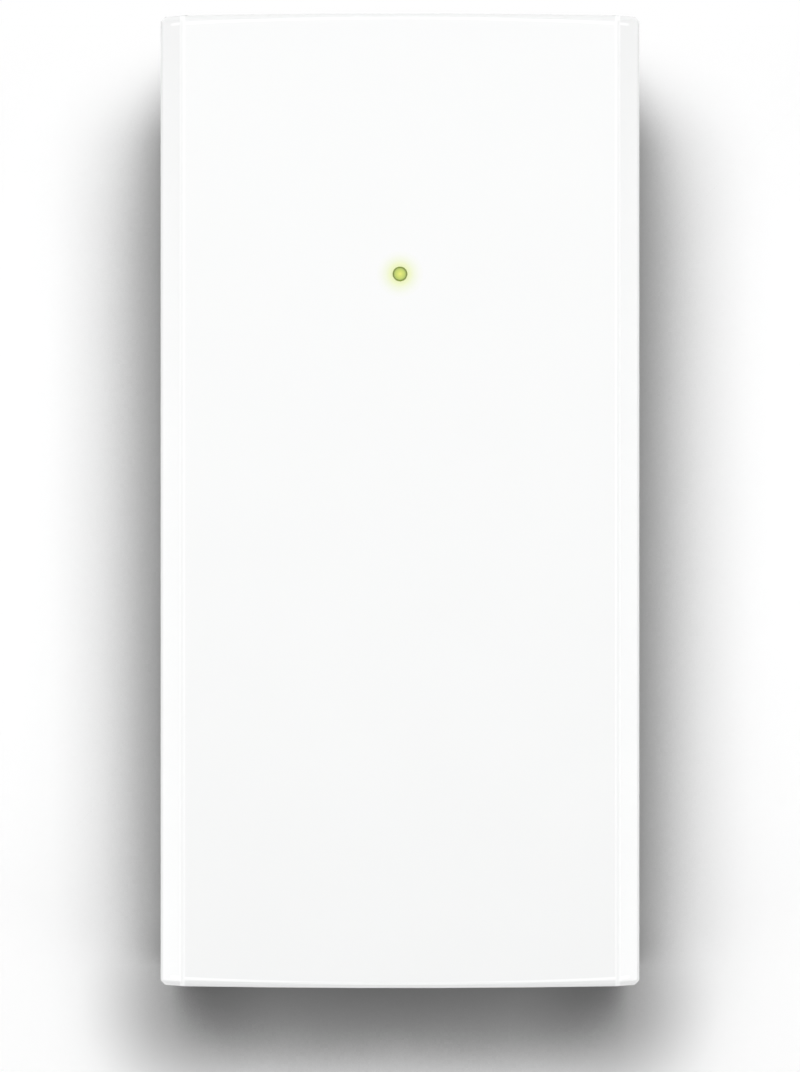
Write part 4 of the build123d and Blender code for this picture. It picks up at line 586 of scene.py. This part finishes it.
sleeve, stripe = sleeved("capacitor_sleeve", (0.012, 0.014, 0.026)), sleeved("sleeve_stripe", (0.42, 0.43, 0.44))
lid_metal = drawn_metal("can_aluminium", (0.76, 0.76, 0.77), 0.30, 0)
for can in ("bulk_capacitor", "output_capacitor_1", "output_capacitor_2"):
    low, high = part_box(can)
    middle = middle_of(low, high)
    can_radius, curl, rim_width, columns = (high.x - low.x) / 2.0, 0.0007, 0.0014, 72
    groove_middle, groove_width, groove_depth, score_depth = 0.0025, 0.0004, 0.0005, 0.00015
    groove_level = np.linspace(0.0014, 0.0036, 12)
    groove = can_radius - groove_depth * np.exp(-(((groove_level - groove_middle) / groove_width) ** 2))
    lid_radius, lid_level = can_radius - rim_width, high.z - 0.0003
    outline = np.concatenate([
        arc(can_radius - 0.0003, board_top + 0.0003, 0.0003, -90.0, 0.0),
        np.stack([groove, board_top + groove_level]),
        arc(can_radius - curl, high.z - curl, curl, 0.0, 90.0, 8),
        np.array([[lid_radius, lid_radius], [high.z, lid_level]]),
    ], axis=1)
    striped = (np.abs(np.arange(columns) - 0.25 * columns) < 0.09 * columns).astype(int)
    disc = np.concatenate([[1.0, 1.0], np.linspace(0.96, 0.04, 14)])
    depth = np.concatenate([[0.0002], np.zeros(15)])
    lid = turned(middle, lid_radius * disc, lid_level + 0.0001 - depth, columns)
    on_score = (np.arange(columns) % (columns // 4) == 0) * ((disc < 0.8)[:, None])
    lid[:, :, 2] -= score_depth * on_score
    side = turned(middle, outline[0], outline[1], columns)
    surfaces(can, "capacitor_sleeve", [sleeve, stripe, lid_metal, tin], (side, striped), (lid, 2))


# Heat sinks: finned plates of extruded aluminium, with the power parts held on by sprung steel clips over a soft
# pad. The power parts have tinned leads, and the control chips have tinned feet on both sides.
sink_metal = drawn_metal("sink_aluminium", (0.72, 0.73, 0.74), 0.38, 2)
for sink in ("primary_heatsink", "secondary_heatsink"):
    broken_edges(sink, sink_metal, 0.00012)
zinc = drawn_metal("zinc_steel", (0.60, 0.61, 0.62), 0.30, 0)
broken_edges("heatsink_clips", zinc, 0.0001)
pad_grey = moulded("thermal_pad", (0.33, 0.36, 0.42), 0.75, 0.0004, 0.00002, 0.1)
dress(pad_grey, "thermal_pads")
package = moulded("package_black", (0.028, 0.028, 0.030), 0.60, 0.00022, 0.000012, 0.2)
resin_top, chip_half, transformer_half = 0.02271, 0.00196, 0.00471
for power_part in ("power_switch", "output_diode"):
    component(power_part, package, 0.0002, top=resin_top)
component("power_controller", package, 0.00008, body=(chip_half, 1.0))
component("port_controller", package, 0.00008, body=(1.0, chip_half))
component("data_transformer", package, 0.00012, body=(1.0, transformer_half))


# Transformer coil: layers of yellow polyester tape round the bobbin, drawn in a little at both ends.
def taped_coil(middle, half_width, half_depth, thickness, low, high):
    """A ring whose outline is a superellipse. Its section goes up the outside, which swells by a quarter
    millimetre half way up, over the top, down the straight bore, and back under the foot."""
    angle = ring_angles(96)
    share = np.linspace(0.0, 1.0, 13)
    swell = 0.00025
    outside, bore = swell * (1.0 - (2.0 * share - 1.0) ** 4) - swell, np.full(13, -thickness)
    inset = np.concatenate([outside, bore, outside[:1]])[:, None]
    level = np.concatenate([low + (high - low) * share, high - (high - low) * share, [low]])[:, None]
    reach = squared_circle(angle, half_width + inset, half_depth + inset, 6.0)
    around = [middle[0] + reach * np.cos(angle), middle[1] + reach * np.sin(angle)]
    return np.stack([*around, np.broadcast_to(level, reach.shape)], axis=-1)


tape, tape_shader, tape_place = new_finish("winding_tape", Roughness=0.28, IOR=1.57)
tape_step, tape_yellow, tape_brown = 0.0022, (0.80, 0.60, 0.08), (0.42, 0.27, 0.03)
tape_edges = (tape_place.axes()[2] * (2.0 * np.pi / tape_step)).maths("SINE").rise(0.86, 0.97)
(tape_edges * 0.7 + tape_place.noise(0.004) * 0.3).mix(tape_yellow, tape_brown).into(tape_shader, "Base Color")
(tape_edges * -1.0).bump(0.00008).into(tape_shader, "Normal")
low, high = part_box("transformer_coil")
coil_sizes = ((high.x - low.x) / 2.0, (high.y - low.y) / 2.0, 0.0033)
coil = taped_coil(middle_of(low, high), *coil_sizes, low.z, high.z)
surfaces("transformer_coil", "winding_tape", [tape, tin], (coil, 0))


# Between the mains and the output: a white optocoupler in a dual in-line package.
white_package = moulded("package_white", (0.74, 0.73, 0.69), 0.48, 0.0003, 0.00001, 0.05)
component("optocoupler", white_package, 0.0001, body=(0.00321, 1.0))


# Status light: a light-emitting diode on the board under a clear rod, whose tip is flush with the case's top.
# The rod's glow is painted light from the diode: yellow-green, palest in the middle of its tip, and a dark olive
# round its rim and down its side, which is also painted shade of the narrow gap round the tip.
light_low, light_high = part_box("light_pipe")
light_x, light_y = middle_of(light_low, light_high)
tip_radius = 0.0008
# A dark olive base colour for the clear rod: painted shade of the gap round its tip.
guide, guide_shader, guide_place = new_finish(
    "light_guide", Base_Color=(0.08, 0.10, 0.02, 1.0), Roughness=0.30, IOR=1.49, Emission_Strength=1.0
)
from_axis = guide_place.moved(Location=(-light_x, -light_y, 0.0), Scale=(1.0, 1.0, 0.0)).length()
# A painted glow on the tip, darkening to painted shade at its rim.
tip_glow_and_rim_shade = (from_axis * (1.0 / tip_radius)).ramp(
    (0.00, (0.61, 0.62, 0.055)), (0.35, (0.49, 0.53, 0.045)), (0.75, (0.35, 0.44, 0.022)), (1.00, (0.15, 0.20, 0.010))
)
at_tip = guide_place.axes()[2].rise(light_high.z - 0.0002, light_high.z - 0.0001)
at_tip.mix((0.16, 0.20, 0.035), tip_glow_and_rim_shade).into(guide_shader, "Emission Color")
guide_place.noise(0.0003).bump(0.00001).into(guide_shader, "Normal")
dress(guide, "light_pipe")
led, led_shader, led_place = new_finish("led_body", Roughness=0.4, Emission_Strength=1.0)
led_place.noise(0.0008).mix((0.70, 0.74, 0.50), (0.86, 0.88, 0.70)).into(led_shader, "Base Color")
led_place.noise(0.0015).mix((0.30, 0.42, 0.02), (0.42, 0.55, 0.04)).into(led_shader, "Emission Color")
dress(led, "status_led")


# Modular jacks: a black housing and carrier, eight sprung gold-plated wires, and a folded nickel-plated shield
# with a spring at each side of the plug's window and two legs through the board.
jack_plastic = moulded("jack_black", (0.020, 0.020, 0.021), 0.42, 0.0003, 0.00001, 0.12)
shield_steel = drawn_metal("shield_steel", (0.50, 0.50, 0.49), 0.50, 0, 0.2, 0.0000006)
gold = drawn_metal("contact_gold", (1.0, 0.74, 0.30), 0.40, 1, 0.2, 0.0000004, metallic=0.4)
for port in ("data", "power"):
    broken_edges(port + "_jack_housing", jack_plastic, 0.00012)
    dress(jack_plastic, port + "_jack_carrier")
    broken_edges(port + "_jack_shield", shield_steel, 0.00005, segments=1)
    broken_edges(port + "_jack_contacts", gold, 0.00008)


# Top shell: white ABS like the bottom, but smooth and satin on top, with two long bevels. A painted highlight, a
# lighter colour along their creases and both ends' rims, stands for the light that these edges catch. A painted tint
# round the status light stands for its glow in the plastic, and the dark olive in its hole is painted shade with a
# painted glow.
case_smooth = moulded("case_white", case_colour, 0.24, 0.00030, 0.0000006, 0.004)
top_nodes = case_smooth.node_tree.nodes
top_shader, top_place = top_nodes["Principled BSDF"], Signal(top_nodes["Texture Coordinate"].outputs["Object"])
across, along, up = top_place.axes()
across, along = abs(across), abs(along)
# Painted highlight: a lighter colour along the bevels' creases and the ends' rims.
crease = across.rise(0.0281, 0.0284) * (1.0 - across.rise(0.0288, 0.0290))
bow = 0.0009
inside_rim = highest.y - bow * (across * (1.0 / highest.x)) ** 2.0 - along
rim_line = inside_rim.rise(0.0004, 0.00055) * (1.0 - inside_rim.rise(0.0007, 0.0009))
edge_light = crease.at_least(rim_line) * up.rise(highest.z - 0.0012, highest.z - 0.0008)
from_light = top_place.moved(Location=(-light_x, -light_y, 0.0), Scale=(1.0, 1.0, 0.0)).length()
glow_radius, hole_radius = 0.0032, 0.00094
# A painted glow tint round the status light, and a dark olive in its hole as painted shade.
painted_glow_and_hole_shade = (from_light * (1.0 / glow_radius)).ramp(
    (0.290, (0.20, 0.25, 0.04)),
    (0.315, (0.74, 0.80, 0.40)),
    (0.420, (0.78, 0.83, 0.50)),
    (0.580, (0.815, 0.850, 0.68)),
    (0.800, (0.855, 0.865, 0.82)),
    (1.000, case_colour),
)
white_with_painted_highlights = edge_light.mix(case_colour, shade(case_colour, 1.13))
from_light.rise(0.0030, glow_radius).mix(painted_glow_and_hole_shade, white_with_painted_highlights).into(top_shader, "Base Color")
# A painted olive glow on the wall of the status light's hole.
in_hole = 1.0 - from_light.rise(hole_radius, 0.00100)
in_hole.mix((0.0, 0.0, 0.0), (0.13, 0.17, 0.03)).into(top_shader, "Emission Color")
top_shader.inputs["Emission Strength"].default_value = 1.0
broken_edges("top_shell", case_smooth, 0.00012, outer=at_case_end)


# Case screws: four zinc-plated steel screws with a cross recess, their heads deep in the underside's recesses.
broken_edges("case_screws", zinc, 0.00012)


# Feet: four bumpers of dark grey rubber, moulded with a square outline and a rounded rim and glued to the flat
# underside.
def bumper(low, high):
    """A superellipse outline that goes straight down, turns in on a quarter of an ellipse and ends flat."""
    angle = ring_angles(128)
    quarter = np.linspace(0.0, 0.5 * np.pi, 9)
    rounding, straight_to = 0.0009, high.z - 0.0002
    inset = np.concatenate([[0.0], rounding * (1.0 - np.cos(quarter))])[:, None]
    level = np.concatenate([[high.z], straight_to - (straight_to - low.z) * np.sin(quarter)])[:, None]
    half = (high.x - low.x) / 2.0 - inset
    reach = squared_circle(angle, half, half, 5.0)
    middle_x, middle_y = middle_of(low, high)
    around = [middle_x + reach * np.cos(angle), middle_y + reach * np.sin(angle)]
    return np.stack([*around, np.broadcast_to(level, reach.shape)], axis=-1)


rubber = moulded("foot_rubber", (0.025, 0.025, 0.026), 0.68, 0.0005, 0.00002, 0.1)
for number in range(1, 5):
    foot = f"rubber_foot_{number}"
    surfaces(foot, "foot_rubber", [rubber], (bumper(*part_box(foot)), 0))
